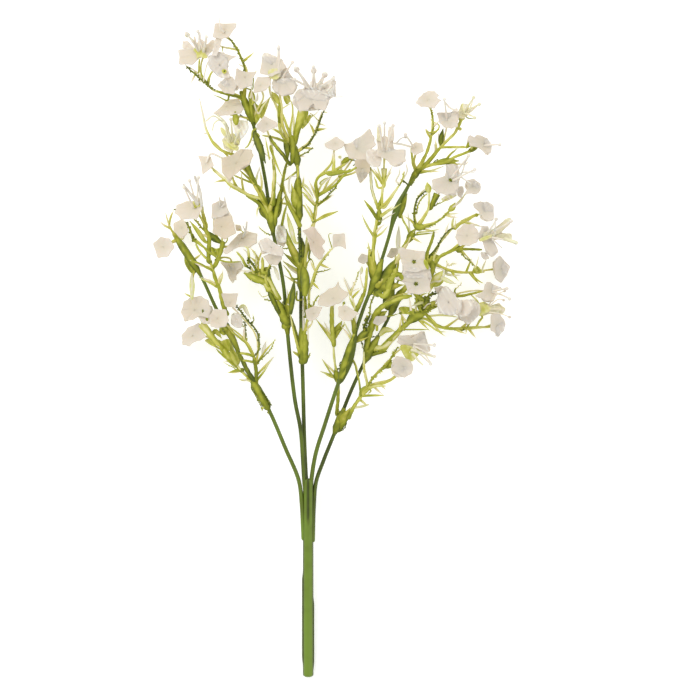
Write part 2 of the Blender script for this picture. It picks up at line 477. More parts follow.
      "sleeve": ["d", 204, 222, 2.3, 2.4],
      "twigs": [
        [1.5, 1.0, [[36, 214, 31.5], [34.8, 221, 33.5], [35, 234.3, 37], [36.6, 243.8, 39.5],
          [37.3, 251, 41]]],
        [0.9, 0.5, [[37.2, 249.5, 40.7], [35.4, 254, 42], [33.6, 261, 44.5], [33.4, 269, 46.5]]],
        [1.0, 0.7, [[37.2, 250, 40.8], [38.8, 254, 41.3], [39.8, 262.9, 42.5], [40.2, 270, 43.5]], "d3"],
        [0.9, 0.5, [[37.3, 249, 40.5], [40.5, 251.5, 42.5], [44.5, 256.5, 44], [49.5, 263, 45]]],
        [0.8, 0.6, [[35.5, 215.5, 31.8], [32, 219.5, 29]], "d2"],
        [2.0, 1.3, [[36.5, 209, 31], [43, 215.5, 28.5], [48.5, 224, 28], [51.5, 229.5, 29],
          [57.8, 240, 32]]],
        [0.8, 0.6, [[46.2, 220.5, 28], [46.3, 224.5, 21.5]], "d11"],
        [1.0, 0.5, [[57.6, 239.5, 32], [56.4, 245, 34], [57, 252, 36], [60, 257.6, 38],
          [63.6, 260.5, 40]]],
        [1.0, 0.6, [[57.6, 239.5, 32], [60.5, 244, 33.5], [64.5, 250, 35.5], [68, 255.5, 37]], "d4"],
        [0.9, 0.6, [[57.8, 239.8, 32], [64, 241, 32], [70, 243.3, 32.5], [75.3, 248.6, 33.5],
          [81, 254, 35]], "d5"],
      ],
      "needles": [
        [[35, 234, 37], [28.6, 245.9, 40]], [[35.2, 235, 37.2], [40.8, 241, 42]],
        [[36.6, 243.5, 39.4], [29.5, 253.5, 44]], [[36.8, 244.5, 39.8], [45, 250.5, 45]],
        [[39.8, 262, 42.4], [34.8, 270.5, 39.5]], [[39.9, 263, 42.5], [44.5, 268.7, 41]],
        [[57.6, 239.5, 32], [50.5, 245.5, 37]], [[57.8, 240, 32], [69, 236.5, 30]],
        [[54.5, 234.5, 30.5], [60.5, 231, 32]], [[73, 246, 33], [79.5, 244.5, 37]],
      ],
      "blades": [[[35.5, 212, 32], [31.8, 231.5, 34.5], 1.7], [[38, 207.5, 31], [51.5, 209, 29.5], 1.9]],
    },
    "sprig_d_tip": {
      "sleeve": ["d", 261, 275, 1.4, 1.9],
      "twigs": [
        [1.3, 0.7, [[57.3, 268.5, 35], [60, 273.5, 36.5], [63.8, 281, 39], [65.7, 291, 41],
          [65.6, 299, 42]], "d7"],
        [1.2, 0.7, [[57.5, 268.8, 35], [64.7, 274.5, 35.5], [70, 281.4, 36], [75.3, 286.5, 36.5],
          [79.5, 292, 37]], "d9"],
        [0.8, 0.6, [[71, 282.5, 36.1], [72.5, 288, 37]], "d8"],
        [1.1, 0.7, [[60.5, 271, 35.2], [65.5, 272.4, 34.5], [73.7, 275.1, 32.5], [81.6, 278, 30],
          [87, 280.5, 29]], "d10"],
        [0.9, 0.6, [[57.5, 269, 35.2], [56.2, 274, 36]], "d6"],
      ],
      "needles": [
        [[65, 286.5, 40.1], [61.8, 291.5, 44]], [[65.7, 292, 41.1], [69.5, 295.5, 45.5]],
        [[65.3, 288, 40.5], [69.5, 291, 37.5]], [[70, 281.5, 36], [83.2, 282.5, 37]],
        [[73, 275, 32.7], [78.5, 281, 31]], [[58.5, 269.5, 35], [70.5, 269, 37.5]],
        [[68, 279, 35.8], [67.5, 286, 33]],
      ],
      "blades": [[[72, 274.7, 32.9], [80, 272.5, 31], 1.3]],
    },
    "sprig_e_lower": {
      "sleeve": ["e", 130, 143, 2.2, 2.4],
      "twigs": [
        [1.1, 0.8, [[17, 138, 14], [15.6, 143, 13.5], [15.9, 150, 13.5], [15.9, 159.5, 14.5],
          [14.3, 167, 17], [13.3, 180, 21], [12.6, 192, 24.5]], "e1"],
        [1.3, 0.8, [[18, 138.5, 14.3], [21.5, 140.5, 16], [25, 145.5, 18], [28.6, 151, 19.5],
          [31.8, 155, 19.5], [38.2, 157.2, 18], [43.5, 158.5, 16.5], [47.5, 162, 15.5]], "e2"],
        [0.9, 0.7, [[31, 154.2, 19.5], [35.5, 161, 19.8], [41, 166.5, 19.8], [46.8, 173, 19.5]], "e3"],
      ],
      "needles": [
        [[15.9, 159, 14.4], [6.9, 163.2, 14]], [[15.7, 161, 14.8], [8, 169.1, 17]],
        [[13.4, 178.5, 20.6], [4.8, 190.3, 20]], [[13.4, 179.5, 20.8], [9.3, 188.5, 26]],
        [[13.5, 179, 20.8], [19.3, 189.2, 20]], [[34, 156, 18.3], [40, 150.5, 19]],
        [[27, 148.6, 18.9], [32.2, 144.5, 19]], [[37, 157, 16.7], [41.5, 153, 14]],
        [[31.5, 155.2, 19.6], [30.3, 163.8, 23]], [[41.5, 167, 19.7], [47, 165.5, 22]],
      ],
      "blades": [[[17, 135, 15], [22.5, 144, 20], 1.8]],
    },
    "sprig_e_middle": {
      "sleeve": ["e", 168, 181, 2.2, 2.4],
      "twigs": [
        [2.1, 1.3, [[34, 175.5, 18], [40, 175.8, 19.5], [44.5, 179.5, 21], [49, 184.5, 22.5],
          [57.2, 192.4, 23]]],
        [1.1, 0.7, [[55.5, 190.7, 23], [62, 191, 22], [70, 186.6, 20], [80.6, 185.5, 15],
          [92, 186.3, 9.5]], "e8"],
        [0.9, 0.6, [[57, 192, 23], [63, 195, 23.5], [68.5, 198.5, 24.5]], "e5"],
        [0.8, 0.6, [[73, 186.3, 18.8], [79, 190.5, 16.5], [83.5, 193.5, 16]], "e6"],
        [0.8, 0.6, [[81, 185.5, 14.8], [86.5, 190.5, 12.5], [91.5, 195.5, 13.3]], "e7"],
        [0.8, 0.6, [[66.5, 197.3, 24], [78, 203.8, 19], [88, 206, 13.5], [93, 206, 12]], "e9"],
        [1.3, 0.6, [[31.5, 172, 18], [31.3, 178, 21.5], [34.5, 189, 24.5], [40.8, 199.3, 26.5],
          [46.5, 203, 27.5], [55, 205, 27]]],
        [0.7, 0.6, [[34, 187.5, 24.2], [35.6, 188.8, 25.5]], "e4"],
      ],
      "needles": [
        [[48, 183.4, 22.3], [49.5, 192.5, 26]], [[53, 188.4, 22.8], [48.5, 196, 26]],
        [[57, 192, 23], [64.7, 184.5, 25]], [[67, 188, 21], [73, 181.5, 23]],
        [[77.5, 185.8, 16.6], [84.3, 183, 19.5]], [[85.5, 185.7, 12.6], [89.5, 180.5, 12]],
        [[57.3, 192.3, 23], [57.5, 200, 25.5]],
      ],
      "blades": [],
    },
    "sprig_e_tip": {
      "sleeve": ["e", 193, 208, 2.0, 2.2],
      "twigs": [
        [2.0, 1.4, [[47.5, 202, 21], [51, 206.5, 22], [58, 214.5, 25], [65, 221.5, 28]]],
        [0.9, 0.5, [[64, 220.5, 27.6], [63.6, 225, 29], [64.7, 230.5, 31], [66.3, 236.5, 33.5]]],
        [1.0, 0.6, [[64.5, 221, 27.9], [68.4, 229, 29.5], [72.6, 234.3, 30.5], [78.4, 240.5, 30.5],
          [87, 245.5, 29]], "e14"],
        [1.1, 0.5, [[64.5, 221, 27.9], [73.7, 225.8, 27], [79, 228, 25.5], [91.7, 227.8, 23]]],
        [0.8, 0.6, [[80, 228, 25.3], [87, 232.5, 26]], "e13"],
        [0.8, 0.6, [[75.5, 226.7, 26.5], [81, 231.5, 28]], "e12"],
        [0.7, 0.45, [[80.6, 228, 25.1], [85, 223.5, 23], [88.5, 219.4, 22]]],
        [1.1, 0.7, [[64.5, 220.8, 27.8], [75.3, 216.8, 24.5], [83, 215.7, 19], [90, 216.2, 11],
          [96.5, 217.2, 4.5]], "e15"],
        [0.8, 0.6, [[57.5, 214, 24.8], [58.5, 217.5, 31]], "e11"],
        [0.8, 0.6, [[52.5, 208.2, 22.7], [56, 211, 29]], "e10"],
      ],
      "needles": [
        [[72.6, 234, 30.4], [74.8, 242, 34]], [[76.5, 238.6, 30.6], [77.8, 246, 33]],
        [[83, 243.7, 29.8], [88.5, 239.8, 27]], [[84, 215.7, 18], [87, 223, 19]],
        [[85.5, 215.8, 16.5], [91.5, 209, 13]], [[76, 216.6, 24.2], [80, 211, 25]],
        [[63.5, 220, 27.5], [68.5, 214.5, 26]],
      ],
      "blades": [],
    },
}

HEADS = [
    ["a1"], ["a2"], ["a3"], ["a4"], ["a5"], ["a6"], ["a7"], ["a8", "a9"], ["a10"], ["a11"],
    ["b1", "b2"], ["b3"], ["b4", "b5"], ["b6"], ["b7"], ["b8"], ["b9", "b10"], ["b11"],
    ["b12", "b13", "c8", "c9"],
    ["c1"], ["c2"], ["c3"], ["c4"], ["c5", "c6", "c7"], ["c10"],
    ["d1", "e1"], ["d2"], ["d3"], ["d4", "d5"], ["d6"], ["d7"], ["d8", "d9"], ["d10"], ["d11"],
    ["e2", "e3"], ["e4"], ["e5"], ["e6", "e7", "e8", "e9"], ["e10", "e11"], ["e12", "e13"], ["e14"], ["e15"],
]

# What grows on each sprig besides its twigs and needles, one piece to a line. First its kind: r rod,
# k knobbed rod, n needle, l leaf, c cup that opens at its end, w web, b bud. Then its full width at
# its foot and at its end (one width for l and b, none for w), its tone at its foot and at its end
# (one tone for w and b), g if it is greyish, and after the bar its route or, for w, its outline. s is
# a green skin on a floret: which floret, how high above it, its tone and, after the bar, its outline.
# Widths and places here are in pixels of the 700 x 700 view.
GROWTH = {
    "sprig_a_lower": """
        c 4.4 8.4 .45 .7 | 222,348 214,340 207,331 201,324
        w .6 | 203,340 212,337 222,341 229,350 224,352 216,348 208,344
        w .55 | 217,346 222,340 230,338 234,350 241,361 237,367 232,366 226,360
        r 5 3.2 .08 .2 | 254,381 248,372 243,362 238,352 232,340 226,329
        c 3.6 7.4 .3 .5 | 238,350 233,339 228,331
        r 2.6 2 .25 .35 | 254,357 250,350 246,343 240,338 234,333 227,325
        k 2.8 2.4 .12 .1 | 246,342 245,335 245,322
        k 2.2 2.6 .2 .08 | 253,357 257,353 259,349 259,340 257,332 253,326 248,321 242,313 236,305
        k 1.6 1 .3 .5 | 252,324 254,319 253,315
        r 3 2.4 .2 .35 | 253,356 247,354 239,353
        r 2.6 2 .15 .3 | 254,362 248,361 240,360
        r 4 3.6 .25 .2 | 256,381 256,370 253.5,357
        k 2.4 1 .1 .6 | 256,364 262,358 270,350 273,344 275,339
        l 3 .9 .95 g | 262,354 264,348 266,341
        n 2.6 1.4 .3 .75 g | 257,380 264,371 269,363 274,357
        r 2.6 2.4 .4 .45 | 252,382 247,377 240,370
        n 4.6 1.4 .3 .4 | 243,370 236,370.5 227,373
        k 1.6 .8 .7 .8 g | 235,369 230,366 223,362
        r 2 1.8 .15 .2 | 238,369 230,362 222,355 216,349
        n 2.2 1.4 .6 .9 | 252,382 246,380 239,379
        r 8 7.4 .2 .35 | 267,407 262,399 257,390 252,381
        k 2.2 1.8 .0 .1 | 268,412 270,405 266,397 261,390
        w .3 | 219,327 227,327 229,332 224,336 219,333
        s a1 .5 .1 | 201.5,309 204.5,309 205,312.5 202,313.5
        s a2 1.7 .12 | 205.5,317.5 208.5,318 208.5,321 206,321
        l 4 .95 .95 g | 243,306 247,312 251,319
        k 2 1.6 .4 .4 | 232,315 238,317 242,321 242,326
        l 4 .5 .5 | 215,331 218,334 221,338
        k 1.7 1.4 .1 .15 | 258,386 263,394 269,402 272,406
        k 1.5 1.2 .3 .25 | 251,387 255,395 259,402 263,411
        n 1.6 .8 .2 .3 | 268,408 268,415
        n 1.4 .8 .3 .4 | 264,407 261,411
    """,
    "sprig_a_middle": """
        r 4.4 4 .35 .6 | 209,262 209,250 209,237 206,230 204,218 202,210
        r 3 2.4 .6 .85 | 203,214 202,206 200,200 195,197 190,193
        n 2.2 1.4 .85 .95 | 203,212 202,202 200,190
        k 3 2.6 .3 .2 | 194,241 191,233 189,227 186,222
        k 2.6 2.4 .45 .6 | 204,230 199,224 194,219
        r 2.6 1.4 .25 .1 | 193,240 198,243 205,248 209,252 215,256 220,260 228,262 240,262
        r 2.4 2.2 .4 .3 | 212,266 209,261 204,256 199,250 196,244
        l 5.6 .05 .1 | 207,232 214,238 224,244
        r 5 3 .35 .25 | 223,243 221,251 219,257 217,263 213,269
        w .4 | 211,246 216,249 221,247 219,256 214,256 211,252
        r 2.6 2.4 .3 .25 | 213,271 210,269 204,266 198,263 192,261
        r 3.4 3.2 .4 .3 | 224,308 221,298 219,288 216,281 214,275 213,270
        n 2.2 1.4 .35 .6 | 217,287 212,284 206,281 199,277.5
        n 2.2 1.2 .4 .7 | 219,285 222,278 223,270
        r 4.6 4.4 .35 .35 | 227,314 224,307 222,299
        n 1.4 1 .2 .3 | 227,241 228,235
        n 1.6 1 .3 .4 | 244,236 243,232 239,229
        n 3 1.6 .5 .55 | 205,231 207,226 205,219
        s a5 .8 .6 | 192,201.5 197,200.5 202,200.5 203.5,204 200,207 195,207
        l 4 .5 .55 | 206,242 198,231 190,221
    """,
    "sprig_a_tip": """
        w .4 | 184,253 188,256 193,260 197,265 196,273 192,274 188,270 184,263
        l 4.4 .85 .95 g | 192,299 192,286 192,273
        n 2.4 1.4 .4 .6 | 190,296 184,293
        k 2 1.4 .05 .05 | 185,209 185,203
    """,
    "sprig_b_lower": """
        w .4 | 244,273 255,271 262,268 270,266 271,278 277,290 283,300 275,301 267,287 258,283 250,279
        r 5 5 .1 .1 | 279,312 273,300 269,291
        r 4 3 .6 .65 | 278,300 273,288 268,279 259,275
        l 6.4 .45 .4 | 266,282 256,279 244,273
        k 4 3 .2 .15 | 258,272 254,266 248,258
        k 3 2 .1 .3 | 250,268 246,266 243,262
        r 3 2 .3 .5 g | 246,266 242,258 237,252
        n 3 2 .4 .7 | 249,262 249,254 248,246
        k 2.4 1.8 .8 .8 | 256,266 256,258 254,251
        r 3.4 2.8 .45 .5 | 263,272 263,266 262.5,258
        k 3 2 .15 .3 | 269,276 269,270 271,266
        n 1.5 1 .8 .85 | 251,271 245,271 238,271
        k 1 .8 .6 .8 | 263,297 260,294 258,291
        r 10 8 .25 .35 | 286,322 281,310 276,301
        l 5 .02 .05 | 291,314 292,303 294.5,279
        n 2 1 .9 .95 | 288,304 288,296 287,289
        k 2.4 1.6 .1 .2 | 278,308 275,303 272,296
        k 3 2.4 .3 .35 | 272,246 277,247 282,249
        l 3 .9 .9 g | 279,280 277,273 274,267
        n 1.6 1 .5 .5 | 249,254 247,248 244,246
        k 2 1.4 .3 .4 | 272,301 268,300 264,300
        n 2 1.2 .9 .9 g | 249,258 247,252 243,249
    """,
    "sprig_b_middle": """
        r 3 2.2 .3 .6 | 262,200 255,197 246,194 238,190 231,186 226,181 219,175 213,170
        k 1.8 1.4 .1 .15 | 242,192 238,187 234,182
        n 1.5 .8 .7 .9 | 231,187 229,190.5
        c 3 6.8 .15 .3 | 256,184 252,177 246.5,165
        r 2.2 1.8 .15 .4 | 254,184 242,179 234,175.5
        r 2.4 1.8 .2 .4 | 255,184 248,178 241,171.5
        r 4 3.2 .22 .18 | 268,206 265,199 260,189 256,184
        n 2.6 1 .6 .8 g | 256,181 258,174 260.5,167
        n 3.2 2 .45 .9 | 234,155 227,153 220,149.5 214,144 210,137 206,128 204,118 202,108 200,99
        n 1.6 .8 .7 .8 | 208,133.5 203.5,134
        n 2.4 1.5 .2 .3 | 254,131 252,139 249,145 246,149
        n 1.5 .8 .6 .7 | 255,142 252.5,149
        l 3.4 .8 .85 | 254,134 258,139 263,146
        n 2.4 1 .85 .8 | 262,150 266,155 270,158
        l 6.2 .02 .06 | 254,132 259,145 266,164
        w .08 | 257,197 266,197 275,198 283,200 281,209 278,216 276,226 270,226 267,220 260,215 258,206
        r 4 3.4 .35 .25 | 270,222 264,210 257,202 247,196
        r 5 4 .3 .4 | 274,226 276,215 278,203 280,192
        r 4.5 3 .35 .45 | 273,205 274,190 275,175 273,160
        r 5.5 4.5 .1 .15 | 272,220 273,233
        k 1.8 1 .2 .5 | 272,235 268,234 263,231 259,227
        k 3 2 .02 .1 | 272,233 275,239 277,247 281,250
        n 3 1.2 .3 .3 | 271,147 275,160 279,170 283,178
        n 3.2 2 .15 .2 | 270,137 272,141 278,149 284,156
        n 2 1 .5 .6 | 258,209 257,217
        w .35 | 253,134 258,133 261,137 258,140 254,139
        s b5 1.0 .8 | 220,127 224,128 227,134 229,139 224,137 221,132
        s b5 1.1 .72 | 222,141 229,141 235,144 240,148 238,152 231,150 225,146
        s b5 1.2 .84 | 230,134 234,133 238,138 241,146 236,144 232,139
        s b5 1.6 .76 | 224,138 229,137 233,141 238,149 233,148 228,143
        n 2 1.6 .5 .5 | 270,160 268,150 266,139
        n 1.8 1.4 .3 .4 | 251,142 248,147 245,149
    """,
    "sprig_b_tip": """
        k 2.6 2.4 .1 .05 | 215,91 211,88.5 206,83 200,79 196,75 191,71 187,67
        r 2.6 2.2 .15 .3 | 246,101 240,98 231,96 222,93.5 215,91
        r 1.6 1.2 .8 .9 | 204,82 205,75 208,63
        k 2.8 2.2 .2 .15 | 246,72 243,63 240,55 236,48 232,42 229,38
        n 1.6 .6 .2 .2 | 229,39 227.5,33
        n 1.5 1 .6 .8 | 236,50 229,48.5 223,47 217,45
        n 1.3 .9 .25 .4 | 223,47 223,52.5
        n 1.3 .9 .1 .3 | 217,45 216.5,52.5
        n 1.5 .9 .2 .1 | 243,63 248,60
        n 1.5 .8 .6 .7 | 243,67 238,64
        n 1.5 .8 .6 .7 | 201,82 197.5,81
        n 2.2 .8 .05 .2 | 228,101 220,98 213,95.3
        r 1.4 1.2 .1 .1 | 252.5,90 253.5,84 254,79
        w .5 | 252,93 256,104 260,107 268,99 264,111 259,121 255,127 249,109
        r 3.2 3 .05 .02 | 255,126 252,119 247,108 243,98
        r 3 2.6 .2 .15 | 254,122 252,112 250,99
        k 2.2 1.8 .05 .0 | 254,124 250,121 245,118 240,115
        l 5.5 .48 .55 | 236.5,125 236,118 235.5,112
        r 2 1.6 .7 .8 | 257,112 254,103 252,93
        r 2 1.6 .7 .8 | 259,114 263,107 268,100
        k 1.8 1.4 .1 .3 | 244,98 245,93 243,88
        n 1.8 1 .7 .85 | 251,98 252,90 251,85
        b 3 .2 | 243,94
        s b10 1.2 .68 | 195,47 201,50 207,47.5 205,53 209,58 206,60 200,57 197,61 197,54 193,51
        r 2 1.8 .35 .4 | 199,73 199.5,66 200,60
        s b9 1.9 .55 | 222,71 225,70 227.5,71.5 227,74.5 224.5,75 222.5,73.5
        s b9 2.2 .05 | 224,71.5 226,71 226,73 224.2,73.5
        l 6 .5 .6 | 252,104 252,97 251,90
        n 2.4 2 .9 .9 g | 257,101 258,94
    """,
    "sprig_c_lower": """
        r 4.4 3.4 .2 .35 | 301,358 298,345 295,331 290,317 283,302
        r 8 8 .25 .3 | 304,361 304.5,350 305,336
        n 3 2 .85 .9 g | 304,336 303.5,318 303,298
        k 2 1.5 .3 .3 | 305,357 308,357.5 310,353
        n 2.4 1.5 .4 .3 | 300,357 296,354 293,352
        n 2 1.2 .7 .85 | 307,345 308,330 308,318
        r 2.4 2.4 .1 .1 | 305.5,317 305.5,297
        k 3 2.4 .3 .35 | 305,312 305,304 304,297
    """,
    "sprig_c_middle": """
        r 2.6 3.2 .3 .4 | 318,200 317,193 315.5,186 318,178.5 325,174 333,172.5 341,172.5 350,172 356,168.5
        l 5 .35 .4 | 328,174.5 337,173 347,172
        n 2.2 1.4 .5 .8 | 318,192 322,185 327,180 333,176
        r 3 2.4 .25 .3 | 318,196 328,190.5 336,185 343,177 350,170
        k 2.4 2 .12 .35 | 319,204 325,199 331,193 336,187.5 338,181
        r 3.8 2 .55 .8 | 333.5,172 334,163 334,152
        n 1.8 1 .4 .3 g | 333,161 330,167 325.5,173
        b 3.4 .85 | 340,157.5
        r 3 2.4 .4 .5 | 336,171 343,166 349,161
        l 4.4 .3 .35 | 343,164 348,159 353,161
        k 1.2 1.2 .05 .05 | 354,160 356,163 353,166
        r 3.4 3 .25 .3 | 313,221 315,213 316,206 318,199
        r 2 1.6 .3 .5 | 315,206 310,201 304,195
        n 2.6 1.6 .2 .3 | 317,206 324,201 332,195
        n 2.4 1.6 .3 .35 | 313,222 325,217 338,211.5
        r 2 1.8 .35 .4 | 314,221 311,228
        k 2.6 2 .35 .5 | 308,291 312,284 315,277 317,270 322,262 327,255 332,248
        k 1.8 1 .15 .4 | 316,272 324,271 331,268.5
        n 1.8 1.2 .4 .6 | 315,271 313,262 311,259
        n 1.8 1.2 .2 .4 | 306,268 308,262 311,259 314,265
        r 3.4 2.6 .5 .7 | 304,285 305,268 306,252 307,236
        l 5.4 .15 .1 | 303,262 303,250 302,238
        n 2.4 1.8 .1 .1 | 309,258 310,250 310,240
        l 6.4 .4 .45 | 303,272 297,259 291,246 286,229
        n 3.4 1.6 .35 .05 | 300,268 296,265 290,259 283,252
        n 3.2 2.4 .4 .7 | 300,272 297,270 290,266 283,261
        n 2.2 1.6 .05 .6 | 300,278.5 293,278.5 289,272 283.5,265
        l 8 .3 .35 | 305,296 305,278 302,262
        k 1.8 1.4 .8 .3 | 275,246 281,248 290,248
        n 1.3 .8 .2 .2 | 329,234 333,233
        k 1.6 1.2 .7 .75 | 305,303 304,297 306,291
        k 1.6 1.2 .7 .75 | 309,304 308,298 310,291
        k 2.4 1.8 .3 .35 | 312,307 315,301 319,295
        r 2 2 .15 .15 | 297,300 297,291
        n 1.8 1.4 .4 .4 | 320,184 324,180 328,178
    """,
    "sprig_c_upper": """
        n 3 1.4 .4 .8 | 302,186 304,176.5
        n 2.8 1.4 .75 .9 g | 303,184 308,188 314,198
        n 1.6 1 .3 .3 | 301,192 305,194 309,199.5
        n 2.4 1.4 .35 .3 | 297,171.5 290,177 284,181
        r 3.6 2.8 .25 .3 | 280,203 281,192 283,180 285,170 287,162
        l 7 .3 .35 | 298,199 298,188 299,174
        n 5 2.6 .35 .3 | 300,226 295,216 289,205 285,196
        n 3 2.2 .3 .35 | 282,225 284,215 287,204
        n 2.2 1.6 .45 .5 | 313,221 308,212 303,205
        k 2.6 2 .02 .02 | 299.5,262 299.5,248 299,236 299,228
        l 4 .8 .75 g | 296,243 291,228 287,213
        n 1.8 1.4 .5 .5 | 303,187 308,193 313,199
    """,
    "sprig_c_tip": """
        r 4.4 4 .3 .35 | 280,122 280,112 280,104
        n 1.4 1 .5 .7 | 281,110 286,107 291,104
        c 4 9.5 .3 .6 | 294.5,144 297,132 303,110
        w .45 | 299,113 303,110 307,106 309,112 307,121 304,127 300,130 297,124
        n 1.6 .8 .6 .9 | 305,112 308,107 313,102
        n 3.2 1.2 .3 .5 | 290,144 284,138 279,132 272.5,128
        r 2.6 1.8 .25 .4 | 289,146 284,141.5 275,138 263,136
        r 4 3.4 .08 .15 | 288,162 284,156 278,149 272,141
        k 2.6 2 .12 .1 | 297,152 302,149 308,145 313,138 317,130 320,122 323,113 324,111
        k 2.4 1.4 .15 .2 | 298,157 303,154.5 308,152 313,147.5
        n 1.6 .8 .3 .6 | 318,129 326,129
        n 1.3 .6 .6 .8 | 320,124 326,126
        n 1.2 .6 .4 .8 | 324,112 328,113
        k 1 1 .6 .8 | 318,120 314,116 310,113
        l 5 .25 .2 | 285,138 287,148 288,160
        r 6.5 5 .35 .25 | 292,138 293,147 293,156 292,163
        r 2.6 2.4 .4 .45 | 296,160 298,170 298,178
        r 3 2.4 .4 .5 | 292,142 289,132 285,121 282,113
        r 2.6 2.2 .6 .7 | 294,142 294,128 293.5,115
        b 2.6 .9 | 292.5,154.5
        n 1.6 .8 .5 .8 | 311,118 316,114 320,110
        n 3 2 .5 .5 | 262,118 266,108 270,98
        l 5 .6 .6 | 279,104 276,98 272,92
        w .6 | 283,96 290,95 291,102 287,106 284,101
        w .55 | 305,122 309,114 312,116 310,121 306,126 301,131
        s c9 2.2 .74 | 268,72 272,69 280,69.5 281,75 279,80 273,81 269,77
        n 2.4 1.6 .9 .9 g | 290,193 289,185 291,177
    """,
    "sprig_d_lower": """
        l 10 .0 .08 | 340,381 346,366 352,348 357,331
        r 5 4 .35 .3 | 342,377 347,369 352,361
        n 2.2 1.4 .1 .1 | 361,396 359,380 357,373 354,361
        r 5 4.4 .2 .35 | 355,335 354,327 354,319
        n 2 1.4 .6 .7 g | 351,336 347,328 344,321
        l 6 .3 .35 | 355,342 361,337 370,326
        k 4 3.4 .12 .1 | 364,328 367,321 370,315
        r 5 4 .35 .35 | 356,311 360,303 364,293
        r 3.2 2.6 .35 .5 | 364,295 366,284 367,268
        n 2.4 1.8 .45 .6 g | 356,310 352,303 349,296
        k 2 1.6 .4 .5 g | 351,290 356,280 359,271
        n 2.6 1.6 .8 .95 g | 351,292 348,286 344,277
        n 1.6 1 .8 .9 | 351,292 355,290 360,288
        k 2.4 2 .25 .3 | 370,312 371,303 374,296 373,290
        b 3 .05 | 344,303
        n 1.5 1 .1 .3 | 343,306 345,301
        n 2 1.2 .7 .85 | 364,288 361,280 360,272
        l 3 .9 .9 g | 361,274 362,266
    """,
    "sprig_d_middle": """
        l 9 .05 .1 | 373,292 376,278 379,264
        l 5.6 .15 .2 | 373,280 371.5,264 374,246
        r 3 2.8 .3 .3 | 373,252 375,240 376,230 377,221
        n 1.6 1 .7 .9 | 380,266 379,257 377,249
        k 1.8 1.2 .6 .7 | 372,254 370,249 367,247
        l 10 .2 .25 | 376,296 386,277 398,257
        l 6 .45 .5 | 384,296 391,280 398,270
        w .5 | 384,290 386,278 392,270 399,266 397,272 392,282 389,292
        n 2.4 1.4 .4 .6 g | 375,237 371,232 367,226 362,215
        n 2.4 1.4 .4 .7 | 376,237 382,233 388,226
        l 5.4 .25 .25 | 378.5,224 379,215 379,206
        n 3.8 2.6 .25 .25 | 378,220 374,214 369,207 364.5,201
        r 3 2.6 .15 .2 | 378,208 375,200 372,190 371,180 370.5,168
        r 2.2 1.8 .35 .6 | 382,184 377,177 371,169
        r 2.6 2.4 .55 .55 | 382,208 382,195 383,184
        c 2.4 6 .45 .8 | 384,187 384,180 384,169
        n 2.2 1.4 .6 .8 | 384,185 387,178 392,167
        n 2.2 1.4 .4 .8 | 384,185 380,176 377,166
        n 2.8 2 .6 .5 | 384,208 390,200 395,192 399,186 403,181
        k 2.6 2 .35 .7 | 399,186 402,181 404,172
        n 1.8 1 .8 .9 | 403,180 407,172 406,164
        n 2.2 1.6 .5 .5 g | 381,217 388,212 395,208 401,204
        n 2 1.2 .8 .8 g | 381,221 388,217 395,213
        k 2 2 .02 .1 | 410,186 414,180 417,175
        r 2.2 1.8 .4 .5 g | 410,234 407,227 403,220 401,212
        n 2 1.2 .6 .8 g | 410,234 409,224 408,213
        l 6.5 .25 .3 | 408,242 411,236 415,229
        r 3.4 3 .3 .3 | 403,248 407,241 411,235
        n 2 1.4 .1 .3 | 413,235 423,234 433,233
        n 1.8 1.2 .4 .5 g | 417,233 428,231.5 439,229.5
        l 6.5 .45 .5 | 414,224 419,227 426,226
        k 2.6 2.2 .15 .05 | 415,224 414,214 415,206 417,200 420,196 427,190
        r 2.6 2 .45 .6 | 420,225 424,218 428,210 429,201 429,190
        c 3.6 7 .35 .3 | 430,209 433,203 437,194
        k 1.8 1 .1 .7 | 430,209 436,205 443,202 449,198
        k 2.6 2 .4 .5 | 422,228 430,226 437,222 443,217 449,211 453,206
        n 1.6 1 .5 .6 | 446,214 452,214 459,213.5
        l 5 .5 .55 | 449,211 453,207 455,203
        n 2 1.2 .7 .9 | 453,207 459,203 464,197
        l 5.4 .65 .7 | 429,193 428,188 427,183
        w .9 | 440,200 445,196 452,194 458,195 452,199 446,202
        n 2.4 1.6 .15 .3 | 411,232 417,229 422,228
        n 2.6 1.6 .45 .5 | 378,188 376,182 374,177
        n 2 1.2 .85 .9 | 396,182 399,175 400,168
        l 4 .95 .95 g | 399,248 398.5,236 399,226
        k 2.2 1.8 .35 .4 | 416,214 418,205 422,198 427,194
        l 5 .3 .3 | 400,217 403,206 407,194
    """,
